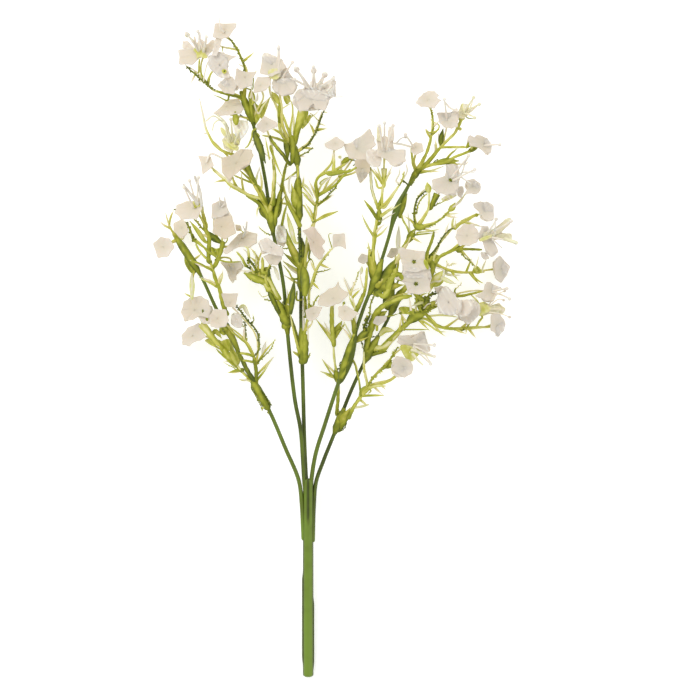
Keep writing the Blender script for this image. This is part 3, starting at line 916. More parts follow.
    "sprig_d_tip": """
        r 6.4 5 .12 .2 | 416,175 418,171 422,167
        k 3 2.4 .1 .2 | 411,184 414,179 417,174
        r 2.8 2.6 .35 .45 | 420,168 425,157 428,148 430,141 431,134
        k 2.4 2 .35 .3 | 431,136 433,130 433,122 432,114 430,108
        n 1.6 1 .4 .5 | 433,123 437,124
        n 1.4 1 .5 .6 | 433,123 430,119.5
        k 2 1.4 .45 .8 | 432,133 429,133 426,130
        r 1.7 1.5 .4 .45 | 432,133 437,131 439,127 437,124
        l 4.4 .05 .1 | 440.5,147 441,139 443,129
        n 2 1.2 .6 .7 | 440,147 438.5,140 439,132
        r 4.4 3.2 .35 .45 | 420,170 427,163 434,155 441,147
        r 2.8 3 .5 .6 | 441,147 448,140 455,133 458,126
        k 5 4 .6 .65 | 457,129 460,123 463,117
        c 4 8 .65 .85 | 462,119 464,113 465,105
        n 2 1.4 .8 .9 | 466,115 470,108 473.5,99
        n 2 1.4 .8 .9 | 467,114 473,110 478.5,105
        n 1.5 .8 .4 .05 | 467,118 474,119
        r 2.6 2.4 .4 .45 | 441,147.5 452,147.5 466,147.5
        n 2 1.6 .15 .35 | 446,161 450,155 457,149
        l 5.4 .35 .4 | 434,164 445,161.5 459,161
        r 3 2.6 .35 .4 | 422,168 430,165 440,164 447,162 455,157 463,154 470,151 478,146.5
        l 4.4 .35 .35 | 468,152 473,149 479,146
        n 2.4 1.6 .6 .7 | 471,149 474,142 477.5,135
        n 2.4 1.2 .2 .8 g | 419,173 426,172 434,170 446,165.5
        k 1.6 1.2 .1 .2 | 434,162 437,160 440,162
        r 2.6 2.2 .3 .5 g | 416,172 413,165 412,157 411,149
        n 1.6 1 .8 .9 g | 434,156 435,149 434,143
        n 1.8 1 .7 .8 | 458,164 466,164 469,160
        l 4 .4 .4 | 466,148 470,144 474,139
    """,
    "sprig_e_lower": """
        l 6.4 .15 .3 | 337,431 342,424 349,411
        k 1.5 1.2 .1 .2 | 335,431 339,432 344,429 347,423
        r 3.8 3.2 .35 .45 | 349,418 352,411 355,405 361,397 362,393
        n 2.4 2.6 .6 .7 g | 355,407.5 362,406.5 369,404.5
        n 2.8 1.8 .3 .4 | 361,396 372,395.5 384,395.5
        n 2.6 1.6 .6 .6 | 368,386 366,379 363.5,370
        r 2 1.6 .5 .6 | 364,372 364,361 364,352
        k 3 3 .45 .35 | 367,387 374,377 380,371 385,367 390,360 395,352 398,347
        w .35 | 381,370 385,363 390,360 394,364 392,368 387,368.5
        n 1.6 1.2 .02 .05 | 387,368 390,367.5 394,366.5
        r 3.8 2.4 .6 .45 | 363,394 370,388 376,384 384,383 391,380 396.5,376.5
        n 3 2.4 .6 .65 | 368,388 377,386 386,386
        l 5 .45 .5 | 360,396 363,391 368,385
        r 5 4.4 .4 .65 | 334,345 333,335 332,325 332,305
        n 3.4 1.6 .35 .5 | 333,342 328,335 322,327 316,319
        n 2.2 1.2 .6 .8 | 332.5,336 328,329 324,322
        n 4 2.4 .3 .4 | 333,339 339,331 345,324
        n 2.2 1.6 .45 .5 g | 336,378 332,375 327,367 322,359
        n 2.4 1.6 .2 .6 g | 336,377 328,374 320,371.5
        l 6 .3 .35 | 339,384 337,376 335,368
        r 3.6 3.6 .35 .35 | 337,415 338,400 338,386 337,374
        k 2 1.4 .1 .1 | 340,368 340,363 343,361
        b 4.4 .15 | 341,415
        n 2 1.2 .3 .3 | 369,388 371,391 368,394
        l 5 .4 .45 | 336,331 339,326 342,321
    """,
    "sprig_e_middle": """
        r 5 8.4 .3 .35 | 366,354 367,344 369,335 372,325 374,316
        r 7 4.4 .4 .5 | 374,318 377,312 383,306 390,303
        r 5 4.4 .45 .45 | 384,305 391,302.5 398,299 404,297 411,296
        k 1.8 1.4 .02 .02 | 410,292 412,294 414,291
        r 2.6 2.4 .5 .45 | 368,386 366,377 364,366 365,354
        k 1.4 1 .6 .7 | 366,352 363,348 363,344
        k 1.7 1.4 .05 .05 | 360,339 366,337 373,337 380,335.5
        w .38 | 377,351 381,345 388,338 398,329 405,325 402,331 392,341 387,351 382,352
        n 4.4 3 .1 .2 | 370,355 378,353 387,351.5
        l 5 .75 .8 | 385,330 390,330 395,331
        r 5.4 5 .4 .35 | 391,340 400,330 408,323 416,317
        l 9 .25 .35 | 408,322 416,316 427,313
        n 2.8 1.8 .3 .3 | 404,330 403,322 401,313
        w .5 | 398,307 406,306 416,309 421,312 416,317 408,314 400,314
        n 1.6 1.4 .15 .2 | 404,329.5 416,329.5 429,329.5
        n 1.7 1.4 .1 .05 | 378,316.5 390,316 399,313.5
        b 3 .1 | 400.5,313
        n 2.4 1.4 .4 .25 | 422,321 430,325.5 438,331 446,332
        r 3.6 3 .4 .35 | 425,313 431,319 437,325 446,328 457,328.5 467,328
        r 2.6 2.2 .5 .45 | 466,327.5 480,327 491,327
        n 3.6 2.2 .3 .2 | 422,313 430,309 439,306
        k 4.4 3.4 .2 .15 | 423,303 427,298 430,295 437,293
        l 6 .3 .4 | 422,312 420,304 415,298
        l 6 .15 .2 | 424,310 427,302 429,295
        l 5 .5 .55 | 426,310 432,304 437,300
        l 4 .2 .3 | 420,310 424,304 424,297
        l 5 .4 .45 | 426,306 420,298 412,292
        n 2 1.2 .7 .8 | 424,308 428,304 433,303
        n 2.4 1.6 .35 .4 | 418,300 422,295 427,293
        k 2 1.6 .1 .1 | 430,308 426,300 421,296 418,292
        k 2.6 2.4 .25 .3 | 421,301 420,308 423,312 429,311 431,304
        n 4 2 .8 .7 g | 422,302 417,304 412,306
        n 2.4 1.6 .85 .8 | 411,310 410,303 409,297
        k 2.2 1.6 .35 .5 | 415,305 417,300 416,296
        n 2.2 2 .55 .6 | 429,316 440,315 450,315.5 458,317
        k 2.6 1.8 .12 .15 | 455,329.5 461,330.5 467,329
        n 1.6 1.2 .4 .5 | 467,328 466.5,333
        r 2.2 2 .25 .3 g | 467,329 470,323 475,317 480,312
        r 2.4 2.2 .5 .4 | 477,327 480,321 483,317 481,314
        w .8 | 479,303 484,301 492,305 497,309 491,313 484,316 481,315
        r 2.4 1.8 .5 .55 | 480,305 477,300 472,295
        r 3.2 2 .35 .4 | 456,295.5 463,295.5 472,293.5 483,291
        r 2.2 1.6 .1 .1 | 456,295 455,291 456,288
        k 1.6 1.2 .9 .9 | 456,289 460,285 462,283
        r 5.4 4 .35 .25 | 375,346 372,351 371,356
        l 6 .4 .45 | 376,320 381,315 387,311
        r 3 2.6 .4 .4 | 377,330 377,317
        s e7 2 .7 | 478.5,302 483,303 489,305 493,308.5 489,312 482,315 479,317 481,309
        s e3 .9 .6 | 399,345 407,344.5 412,346.5 419,349 421,353 417,357 413,362 407,360 403,354
    """,
    "sprig_e_tip": """
        l 9 .22 .25 | 388,306 390,293 394,279
        n 2.2 1.8 .02 .05 | 394,289 399,279 403,271
        w .22 | 394,301 396,292 402,288 406.5,283 405.5,291 400,299
        r 3.4 3 .3 .25 g | 426,264 426,256 429,248 432,240 434,232
        k 2.4 2 .05 .02 | 428,257 433,252 437,247 441,240 446,233 451,229 455,229
        r 2.6 3 .4 .45 | 455,229 460,224 466,221 472,217 477,214
        b 4 .5 | 476.5,215
        n 1.5 1 .7 .7 | 455,229 455.5,219
        n 1.4 1 .7 .8 | 452,229 452,222
        n 2.2 1.6 .7 .8 | 466,221 473,224 482,226.5
        n 3 2 .6 .65 | 433,262 435,254 440,245
        l 9 .5 .55 | 428,264 433,260 441,256
        r 3.6 3.2 .45 .4 | 434,262 441,256 449,252 456,249 460,248
        l 6.5 .3 .35 | 456,248 459,249 463,249
        r 2.8 2.4 .35 .15 | 460,249 470,249 482,249.5
        k 2.2 1.8 .35 .3 | 461,250 464,256 470,261 475,266
        n 1.8 1 .6 .7 | 475,268 477,264 479,256
        n 2.6 2 .7 .8 | 482,272 484,266 487,259
        w .55 | 472,272 475,265 479,266 484,272 478,274
        r 2.8 2.4 .45 .5 | 434,262 441,266.5 449,270 458,272 470,272 485,271.5
        n 2.6 1.4 .35 .4 | 472,272 475,277 480,281 484,283
        k 1.6 1 .8 .8 | 447,266 447,260
        k 2.4 2 .85 .85 | 450,265 453,263 456,264
        n 3.4 2.4 .85 .85 g | 446,273 453,275 461,275
        r 6 4 .15 .5 | 432,262 433,268 431,276 430,284
        r 2.2 1.8 .7 .75 g | 429,286 433,281.5 440,281 444,275 443,270 436,268
        n 1.6 1.2 .05 .05 | 424,272 431,272
        r 5 3.4 .4 .45 | 414,278 422,270 428,264
        n 1.4 1 .3 .4 | 411,251.5 418,252
        k 2 1.6 .7 .8 | 432,285 431,290 428,294
        s e10 1.2 .35 | 394,273 403,274 404,280 397,282
        n 3 2 .35 .4 | 397,272 398,266 399,260
        s e11 1.3 .4 | 424,259 427,261 429,267 428,271 425,267 423,262
        l 7 .7 .7 | 431,284 437,278 443,271
        l 6 .65 .7 | 430,285 437,283 445,279
        l 4 .6 .6 | 428,290 431,286 435,283
        l 4 .88 .9 g | 441,277 448,281 456,284
        n 3 2.2 .6 .6 | 462,221 468,223 475,225
        s e13 2 .76 | 478,240 484,236.5 491,234.5 497,230.5 499.5,232.5 494,236.5 487,240 480,242
    """,
}

# What stands round some florets besides their sheets, one piece to a line. p is a patch of petal and
# how high it is above the eye, f is a filament and its full width at its foot and at its end, o is a
# filament that ends in a ball. Then g, e, y or w if it is greyish, beige, lime or paler, and after the
# bar its outline or route, in the same pixels.
PETALS = {
    "a5": """
        f 3 2.6 g | 202,206 200,190 195,177
        f 3 2.4 g | 198,204 190,193 184,185
    """,
    "a8": """
        p 0 | 211,204 225,201 229,211 233,217 228,220 214,219
        f 1.8 1.4 g | 220,205 220,198
        f 1.8 1.4 g | 222,207 225,204 225,198
    """,
    "a10": """
        p .5 e | 235,224 241,225 242,231 236,231
        f 2.4 1.6 g | 243,237 246,229 247,222
        f 1.4 1 g | 243,237 245,231 243,226
    """,
    "a11": """
        p 0 | 222,262 240,261 244,266 240,272 236,275 233,284 229,279 226,270
    """,
    "b3": """
        f 2.4 2 | 207,162 211,154 222,158
    """,
    "b4": """
        p -.5 e | 222,158 222,172 229,183 232,182 233,176 243,170 251,165 253,155 251,150 239,150 233,156
    """,
    "b5": """
        f 1.8 1.4 | 229,130 226,124 220,121 215,124 213,131
        f 1.8 1.4 | 229,129 225,122 218,116
        f 2 1.4 | 232,142 228,130 222,122 214,117 207,122
        p -.4 w | 232,122 240,120 248,121 249,128 246,135 241,141 236,138 234,130
    """,
    "b8": """
        p .3 | 219,82 232,80 240,88 238,92 228,90
    """,
    "b9": """
        p 1.5 | 208,66 210,57 216.5,53 225,53 228.5,60 228.5,70 231.5,78.5 227.5,79.5 219.5,78.5 211,70.5
    """,
    "b10": """
        p 0 | 183,41 188,41 193,46 196,50 188,50 182,49
        o 2.6 1.2 y | 198,50 194,42 188,36
        f 3 2.4 | 200,50 200,42 200,34
        f 3 2.4 | 204,50 206,43 206.5,37
        f 2.4 2 | 198,49 196,43 195,38
    """,
    "b11": """
        p .4 | 212,58 218,57 223,40 216,38
        f 2.4 1.2 | 224,33 220.5,27 220.5,19
    """,
    "b1": """
        p 2.4 | 259,241 268,237 276,244 284,249 284,257 272,255 262,251
    """,
    "c4": """
        p 5.5 w | 277,225 284,224 287,233 286,242 281,243 276,240
    """,
    "c8": """
        p 0 | 262,56 265,52 284,60 282,67 291,76 300,88 288,84 272,80 262,68
        f 3.4 2.4 | 279,60 279,47
    """,
    "c9": """
        p 1 | 272,88 276,80 285,78 294,80 298,88 294,95 284,97 275,94
    """,
    "c10": """
        p 0 | 292,100 298,90 312,88 326,91 330,102 326,110 312,112 298,112
        p 1.5 w | 310,90 310,81 322,86 334,80 337,90 336,97 326,102 327,92
        p 2.3 | 294,98 302,90 326,91 330,97 327,109 318,112 312,107 306,112 297,110 292,104
        o 3 2.4 | 308,90 302,78 297,71
        o 3 2.6 | 315,90 314.5,81 314,72
        o 3 2.4 | 320,90 322,83 325,76
        o 2.6 2 | 328,92 331,88 334,84
        f 3 2.4 g | 334,92 334,78
        f 1.8 1.4 | 308,88 300,84 291,80
        f 1.2 .8 g | 321,94 334,98 343,98
    """,
    "c6": """
        p 0 | 352,142 362,136 370,128 374,140 370,150 360,156
    """,
    "c7": """
        p 0 | 354,168 366,168 368,176 360,185
    """,
    "d3": """
        p 0 | 366,150 378,150 382,160 380,168 372,168 366,162
        p 0 | 377,153 385,148 393,150 406,151 405,160 402,166 396,168 391,165
        p .6 y | 376.5,142 377,127 381.5,127 382,142
        p .6 | 387.5,142 388,127 394,127 394.5,142
        f 1.2 1 g | 384,136 384,125
    """,
    "d6": """
        f 2.4 2 | 410,147 402,145 394,144
        o 1.6 1.4 g | 397,143 401,139 405.5,137.5
    """,
    "d8": """
        p 0 | 436,113 452,113 458,109 459,118 457,124 452,130 447,128 441,125 438,118
        f 2.2 1.8 | 457,112 450,109 447,106 444,102
    """,
    "d10": """
        p 0 | 468,136 471,135 473,141 471,146 466,145
        p 0 | 477,136 484,137 491,142 492,148 491,153 487,156 485,150 480,149 477,143
    """,
    "d4": """
        p 0 | 446,165 456,164 457,175 458,188 456,196 448,196 434,188 431,182 445,177
        f 1.8 1.4 g | 459,178 462,172 465,163 469,156
        f 1.4 1 g | 458,176 463,173 474,173
        f 1.8 1.4 g | 458,176 464,180 470,184
    """,
    "d5": """
        p -.3 g | 457,187 463,186 464,192 461,199 457,196
        p 0 | 466,181 473,180 479,184 481,187 479,193 474,195 468,192 464,187
    """,
    "e2": """
        p 0 | 391,367 393,360 402,357 411,360 413,368 408,376 398,378 392,374
    """,
    "a1": """
        p -.3 | 199,306 212,305 214,316 210,324 203,324 197,316
    """,
    "a4": """
        p -3.2 g | 231,316 234,312 240,314 243,320 242,328 236,328 231,324
    """,
    "e3": """
        p 0 | 397,336 407,335 416,334 425,331 428,345 430,352 424,352 418,347 410,344 400,343
        f 3 1.4 y | 412,350 422,353 434,357
        f 3 1.4 y | 413,354 418,360 423,365
        f 1.6 1.2 | 422,350 432,364
        f 1.6 1.2 g | 424,344 434,345
    """,
    "e5": """
        p 0 | 438,297 446,290 455,296 460,300 470,299 475,306 468,316 460,317 455,314 445,315 438,311
        p 2.6 | 437,297 441,289 446,285 452,291 456,297 462,301 461,312 452,316 441,314 437,306
    """,
    "e6": """
        p 2.7 | 457,301 466,300 474,299 480,304 481,313 474,321 468,325 461,319 457,313
    """,
    "e8": """
        p 0 | 494,314 502,317 506,324 504,331 499,337 496,336 496,328 493,322
    """,
    "e9": """
        p 0 | 485,284 490,281 494,284 502,287 504,290 497,290 495,294 494,302 484,302 480,296 484,290
    """,
    "e7": """
        p 1.6 y | 486,304 500,306 503,310 494,314 486,313
        o 1.4 1 e | 490,306 499,299 504,300
        o 1.4 1 e | 490,309 499,309 503,310
        o 1.4 1 e | 490,312 502,314 510,317
        o 1.4 1 e | 489,305 498,294 505,291
    """,
    "e10": """
        p -.2 | 402,276 402,262 428,262 432,278 428,290 408,290
        p 1.4 | 402,270 410,268 421,268 430,270 431,278 424,278 410,278 402,277
    """,
    "e13": """
        p -.2 g | 480,252 486,252 490,259 484,260 481,257
        p 1.5 y | 478,237 485,232 495,229 500,225 505,219 511,217 511,221 507,226 501,232 \
            495,236 486,238 479,242
        p 1 y | 495,235 505,233 512,234 512,240 505,241 497,239
        f 4 3.6 y | 505,239 516,243
        p 0 | 483,240 491,239 495,243 499,252 492,258 485,252
        p .5 g | 481,238 482,227 488,226 488,238
        f 1.6 1.2 g | 495,234 495,222
        f 1.6 1.2 g | 492.6,239.5 501.8,248
    """,
    "e14": """
        p 0 | 473,204 480,203 487,201 494,205 494,219 487,222 480,219 479,211 474,208
    """,
    "e15": """
        p 0 | 500,255 504,258 506,263 511,266 508,272 505,279 502,283 497,279 494,272 493,262
    """,
}


# ---------------------------------------------------------------- small tools
DRAW_STEP = 1664525
DRAW_SHIFT = 1013904223
DRAW_RANGE = 2**32
SEED_STEP = 7919
SEED_START = 17
FULL_TURN = 2 * math.pi
UP = (0.0, 0.0, 1.0)


def seeded_draw(number):
    """Numbers from 0 to 1, the same each time for the same number."""
    state = number * SEED_STEP + SEED_START

    def draw():
        nonlocal state
        state = (state * DRAW_STEP + DRAW_SHIFT) % DRAW_RANGE
        return state / DRAW_RANGE

    return draw


def unit(vector):
    vector = np.asarray(vector, float)
    return vector / np.linalg.norm(vector)


def smooth(value, low, high):
    """0 below low, 1 above high, and an even turn between."""
    part = np.clip((np.asarray(value, float) - low) / (high - low), 0, 1)
    return part * part * (3 - 2 * part)


def bump(value, centre, reach):
    """1 at the centre, and less the further away."""
    return np.exp(-(((value - centre) / reach) ** 2))


def between(first, last, part):
    return first + (last - first) * part


def circle(sides):
    return np.linspace(0, FULL_TURN, sides, endpoint=False)


def through_points(points, each=10):
    """A centripetal curve through the points, with some places on each stretch."""
    points = [np.asarray(point, float) for point in points]
    if len(points) == 2:
        return np.linspace(points[0], points[1], each + 1)
    ends = [2 * points[0] - points[1], 2 * points[-1] - points[-2]]
    held = [ends[0], *points, ends[1]]
    places = []
    for k in range(len(points) - 1):
        p0, p1, p2, p3 = held[k : k + 4]
        t1 = np.linalg.norm(p1 - p0) ** 0.5
        t2 = t1 + np.linalg.norm(p2 - p1) ** 0.5
        t3 = t2 + np.linalg.norm(p3 - p2) ** 0.5
        for t in np.linspace(t1, t2, each, endpoint=False):
            a1 = p0 + (p1 - p0) * (t / t1)
            a2 = p1 + (p2 - p1) * ((t - t1) / (t2 - t1))
            a3 = p2 + (p3 - p2) * ((t - t2) / (t3 - t2))
            b1 = a1 + (a2 - a1) * (t / t2)
            b2 = a2 + (a3 - a2) * ((t - t1) / (t3 - t1))
            places.append(b1 + (b2 - b1) * ((t - t1) / (t2 - t1)))
    return np.array([*places, points[-1]])


def bow_through(root, middle, tip, parts):
    """A bow from the root to the tip that is drawn towards the middle."""
    t = parts[:, None]
    return (1 - t) ** 2 * root + 2 * ((1 - t) * t) * middle + t**2 * tip


def along(spine):
    """How far each place of a spine is from its start."""
    return np.r_[0, np.cumsum(np.linalg.norm(np.diff(spine, axis=0), axis=1))]


def share_along(spine):
    """The same, as a share of its length."""
    far = along(spine)
    return far / far[-1]


def even_steps(places, step, least=3):
    """The same line with its places an even step apart."""
    lengths = along(places)
    count = max(least, int(math.ceil(lengths[-1] / step)) + 1)
    wanted = np.linspace(0, lengths[-1], count)
    return np.stack([np.interp(wanted, lengths, places[:, k]) for k in range(3)], axis=1)


def cut_corners(loop, share):
    """The same loop with each corner cut off, which rounds it a little."""
    after = np.roll(loop, -1, axis=0)
    pairs = np.stack([loop + (after - loop) * share, after - (after - loop) * share], axis=1)
    return pairs.reshape(-1, loop.shape[1])


def turned_left(loop):
    """The same loop, anticlockwise as seen from above."""
    after = np.roll(loop, -1, axis=0)
    area = (loop[:, 0] * after[:, 1] - loop[:, 1] * after[:, 0]).sum()
    return loop if area > 0 else loop[::-1]


# ---------------------------------------------------------------- surfaces
# What a piece's colour is turned towards, as a place on the tint ramp.
GREYISH, BEIGE, PLAIN, PINKISH, LIME = 0.1, 0.3, 0.5, 0.7, 0.9


class Shell:
    """Closed surfaces gathered for one piece, with a tone and a tint at each vertex."""

    def __init__(self):
        self.places = []
        self.tones = []
        self.tints = []
        self.quads = []
        self.count = 0
        self.tint = PLAIN

    def add(self, places, quads, tones):
        """A closed surface in the tint that was set last."""
        self.places.append(np.asarray(places, float))
        self.tones.append(np.broadcast_to(np.asarray(tones, float), len(places)))
        self.tints.append(np.full(len(places), self.tint))
        self.quads.append(np.asarray(quads, int) + self.count)
        self.count += len(places)

    def build(self, name, material, node):
        """The piece: it replaces the node, and rides as the node does."""
        mesh = bpy.data.meshes.new(name)
        faces = []
        for row in np.concatenate(self.quads).tolist():
            corners = list(dict.fromkeys(row))
            if len(corners) > 2:
                faces.append(corners)
        mesh.from_pydata(to_frame(np.concatenate(self.places)).tolist(), [], faces)
        for label, values in (("tone", self.tones), ("tint", self.tints)):
            mesh.attributes.new(label, "FLOAT", "POINT").data.foreach_set("value", np.concatenate(values))
        mesh.polygons.foreach_set("use_smooth", [True] * len(mesh.polygons))
        mesh.materials.append(material)
        mesh.update()
        piece = bpy.data.objects.new(name, mesh)
        bpy.context.scene.collection.objects.link(piece)
        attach(piece, "root")
        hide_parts(node)


def frames_along(spine, up):
    """A side and an up direction at each place of a spine, which turn with it and don't twist."""
    ways = np.gradient(spine, axis=0)
    ways /= np.linalg.norm(ways, axis=1)[:, None]
    high = np.asarray(up, float) - ways[0] * np.dot(up, ways[0])
    if np.linalg.norm(high) < 0.05:
        high = np.cross(ways[0], (1.0, 0.0, 0.0))
    highs = [unit(high)]
    for way in ways[1:]:
        high = highs[-1] - way * np.dot(highs[-1], way)
        highs.append(unit(high))
    highs = np.array(highs)
    return np.cross(ways, highs), highs


def quads_of_loops(rows, sides):
    """Faces between closed loops that follow each other."""
    row, ring = np.meshgrid(np.arange(rows - 1), np.arange(sides), indexing="ij")
    after = (ring + 1) % sides
    quads = [row * sides + ring, row * sides + after, (row + 1) * sides + after, (row + 1) * sides + ring]
    return np.stack(quads, axis=-1).reshape(-1, 4)


def capped_quads(rows, sides):
    """The same, with fans that close both ends on the two places that come after the loops."""
    ring = np.arange(sides)
    after = (ring + 1) % sides
    last = (rows - 1) * sides
    foot = np.stack([np.full(sides, rows * sides), after, ring, ring], axis=1)
    top = np.stack([np.full(sides, rows * sides + 1), last + ring, last + after, last + after], axis=1)
    return np.vstack([quads_of_loops(rows, sides), foot, top])


def two_faced(shell, bottom, top, tones):
    """A closed sheet from the grids of its two faces. Each row of a grid is a loop round its middle."""
    rows, sides = top.shape[:2]
    ring = np.arange(sides)
    after = (ring + 1) % sides
    last = (2 * rows - 1) * sides
    closing = np.stack([last + ring, last + after, after, ring], axis=1)
    places = np.concatenate([bottom[::-1].reshape(-1, 3), top.reshape(-1, 3)])
    shades = np.concatenate([tones[::-1].ravel(), tones.ravel()])
    shell.add(places, np.vstack([quads_of_loops(2 * rows, sides), closing]), shades)


CAP_ANGLES = np.radians([30, 60, 82])
CUP_WALL = 0.86  # of the radius, inside the rim
SIDE_DARK = 0.34  # how much darker a thick rod's sides are than its top
SIDE_DARK_GIRTHS = (0.6, 1.8)  # the half widths where that starts and where it is whole
SIDE_MIDDLE = 0.35
STREAK = 0.07
STREAKS_ROUND = 3
STREAKS_ALONG = (0.55, 0.31)


def tube(shell, spine, wide, thick, sides, tones, up=UP, lobes=None, cup=0.0):
    """A rod with rounded ends. wide and thick are its half sizes at each place. lobes is how many
    ridges run along it, and how high they are. cup is how deep it is hollow at its end."""
    spine = np.asarray(spine, float)
    count = len(spine)
    wide = np.broadcast_to(np.asarray(wide, float), count)
    thick = np.broadcast_to(np.asarray(thick, float), count)
    tones = np.broadcast_to(np.asarray(tones, float), count)
    side, high = frames_along(spine, up)
    foot_way = unit(spine[0] - spine[1])
    tip_way = unit(spine[-1] - spine[-2])
    foot_reach = min(wide[0], thick[0])
    tip_reach = -cup if cup else min(wide[-1], thick[-1])
    wall = CUP_WALL if cup else 1
    rows = []
    for angle in CAP_ANGLES[::-1]:
        rows.append((spine[0] + foot_way * (foot_reach * math.sin(angle)), math.cos(angle), 0))
    rows += [(spine[k], 1.0, k) for k in range(count)]
    for angle in CAP_ANGLES:
        rows.append((spine[-1] + tip_way * (tip_reach * math.sin(angle)), math.cos(angle) * wall, count - 1))
    turns = circle(sides)
    ridge = 1 + lobes[1] * np.cos(lobes[0] * turns) if lobes else np.ones(sides)
    places = []
    shades = []
    for centre, shrink, k in rows:
        across = np.outer(np.cos(turns) * ridge * wide[k] * shrink, side[k])
        over = np.outer(np.sin(turns) * ridge * thick[k] * shrink, high[k])
        places.append(centre + across + over)
        streak = np.sin(STREAKS_ROUND * turns + STREAKS_ALONG[0] * k) * np.sin(STREAKS_ALONG[1] * k + turns)
        side_dark = SIDE_DARK * smooth(wide[k], *SIDE_DARK_GIRTHS)
        shades.append(tones[k] + side_dark * (SIDE_MIDDLE - np.cos(turns) ** 2) + STREAK * streak)
    tips = [spine[0] + foot_way * foot_reach, spine[-1] + tip_way * tip_reach]
    shades.append([tones[0], tones[-1]])
    shell.add(np.vstack([*places, tips]), capped_quads(len(rows), sides), np.concatenate(shades))


def ball(shell, centre, radii, tone, sides=12, rows=8):
    """A closed ball. radii is one number, or one for each of X, Y and Z."""
    angles = np.linspace(-math.pi / 2, math.pi / 2, rows + 1)[1:-1]
    turns = circle(sides)
    ring = np.column_stack([np.cos(turns), np.sin(turns), np.ones(sides)])
    loops = [ring * (math.cos(a), math.cos(a), math.sin(a)) for a in angles]
    places = np.concatenate([*loops, [[0, 0, -1]], [[0, 0, 1]]]) * np.asarray(radii) + np.asarray(centre)
    shell.add(places, capped_quads(len(angles), sides), tone)


# ---------------------------------------------------------------- the stem
HANDLE_RADIUS = 2.7
HANDLE_ROUTE = [[0, 0, 2.35], [0, 52, 7], [0, 106, 12]]
HANDLE_ROUND = 1.1  # how far its ends are rounded
HANDLE_STEP = 0.8
HANDLE_SIDES = 40
HANDLE_TONE = 0.85
HANDLE_SIDE_DARK = 0.7
HANDLE_FOOT_LIGHT = 0.12  # how much lighter its lower end is
HANDLE_FOOT_REACH = (10, 60)
HANDLE_END_TONES = (0.5, 0.3)
GROOVE = {"foot": 84.0, "depth": 0.55, "half_angle": 0.3, "darker": 0.75}
SEAM = {"height": 0.12, "reach": 0.01}  # the line where the two halves of the mould met
RIBS = [[-2.55, 4, 58], [2.5, 3, 44]]  # how far to the side, and from which height to which
RIB = {"girth": 0.75, "step": 1.5, "ends": 0.35, "taper": 6, "sides": 12, "tone": 0.3}
STEM_GIRTH = (1.15, 0.85)
STEM_SIDES = 16
STEM_STEP = 1.4
SWELLING = {"branch": "d", "height": 249.0, "reach": 7.0, "girth": 1.0, "lighter": 0.15}
BRANCH_TONES = {"a": 0.66, "b": 0.45, "c": 0.4, "d": 0.55, "e": 0.35}
BRANCH_FOOT_LIGHT = (0.15, 30)  # how much lighter its foot is, and how far that reaches
BRANCH_WAVE = (0.1, 0.21)  # how much its tone turns, and how often


def handle_line():
    return through_points(HANDLE_ROUTE, 20)


def handle(shell):
    """The handle, with a groove down its upper side where the branches come together."""
    spine = even_steps(handle_line(), HANDLE_STEP)
    far = along(spine)
    side, high = frames_along(spine, UP)
    turns = circle(HANDLE_SIDES)
    sideways = np.abs(np.cos(turns))
    from_top = np.abs((turns - math.pi / 2 + math.pi) % FULL_TURN - math.pi)
    shoulder = np.clip(1 - np.minimum(far, far[-1] - far) / HANDLE_ROUND, 0, 1)
    radii = HANDLE_RADIUS - HANDLE_ROUND * (1 - np.sqrt(1 - shoulder**2))
    seam = SEAM["height"] * bump(sideways, 1, SEAM["reach"])
    places = []
    tones = []
    for k in range(len(spine)):
        grooved = smooth(far[k], GROOVE["foot"] - 4, GROOVE["foot"] + 3)
        groove = GROOVE["depth"] * grooved * bump(from_top, 0, GROOVE["half_angle"])
        ring = radii[k] - groove + seam
        across = np.outer(np.cos(turns) * ring, side[k])
        places.append(spine[k] + across + np.outer(np.sin(turns) * ring, high[k]))
        shade = HANDLE_TONE - GROOVE["darker"] * groove / GROOVE["depth"]
        shade = shade - HANDLE_SIDE_DARK * smooth(sideways, 0.7, 1.0)
        tones.append(shade + HANDLE_FOOT_LIGHT * (1 - smooth(far[k], *HANDLE_FOOT_REACH)))
    places = np.concatenate(places)
    places[:, 2] = np.maximum(places[:, 2], 0.0)
    shades = np.concatenate([*tones, HANDLE_END_TONES])
    shell.add(np.vstack([places, spine[0], spine[-1]]), capped_quads(len(spine), HANDLE_SIDES), shades)


def rib(shell, side, foot, top):
    """A mould line that stands out along the handle."""
    line = handle_line()
    ends = [line[np.argmin(np.abs(line[:, 1] - height))] + (side, 0, 0) for height in (foot, top)]
    spine = even_steps(np.array(ends), RIB["step"])
    far = along(spine)
    taper = between(RIB["ends"], 1, smooth(np.minimum(far, far[-1] - far), 0, RIB["taper"]))
    tube(shell, spine, RIB["girth"] * taper, RIB["girth"] * taper, RIB["sides"], RIB["tone"])


def branch_line(key):
    return through_points(BRANCHES[key], 12)


def branch(shell, key):
    spine = even_steps(branch_line(key), STEM_STEP)
    far = along(spine)
    girth = between(*STEM_GIRTH, far / far[-1])
    light, reach = BRANCH_FOOT_LIGHT
    wave, often = BRANCH_WAVE
    tone = BRANCH_TONES[key] + light * (1 - smooth(far, 0, reach)) + wave * np.sin(far * often + girth[0])
    if key == SWELLING["branch"]:
        swollen = bump(spine[:, 1], SWELLING["height"], SWELLING["reach"])
        girth = girth + SWELLING["girth"] * swollen
        tone = tone + SWELLING["lighter"] * swollen
    tube(shell, spine, girth, girth, STEM_SIDES, tone)


def stem_piece(material):
    shell = Shell()
    handle(shell)
    for row in RIBS:
        rib(shell, *row)
    for key in BRANCHES:
        branch(shell, key)
    shell.build("stem_form", material, "stem")


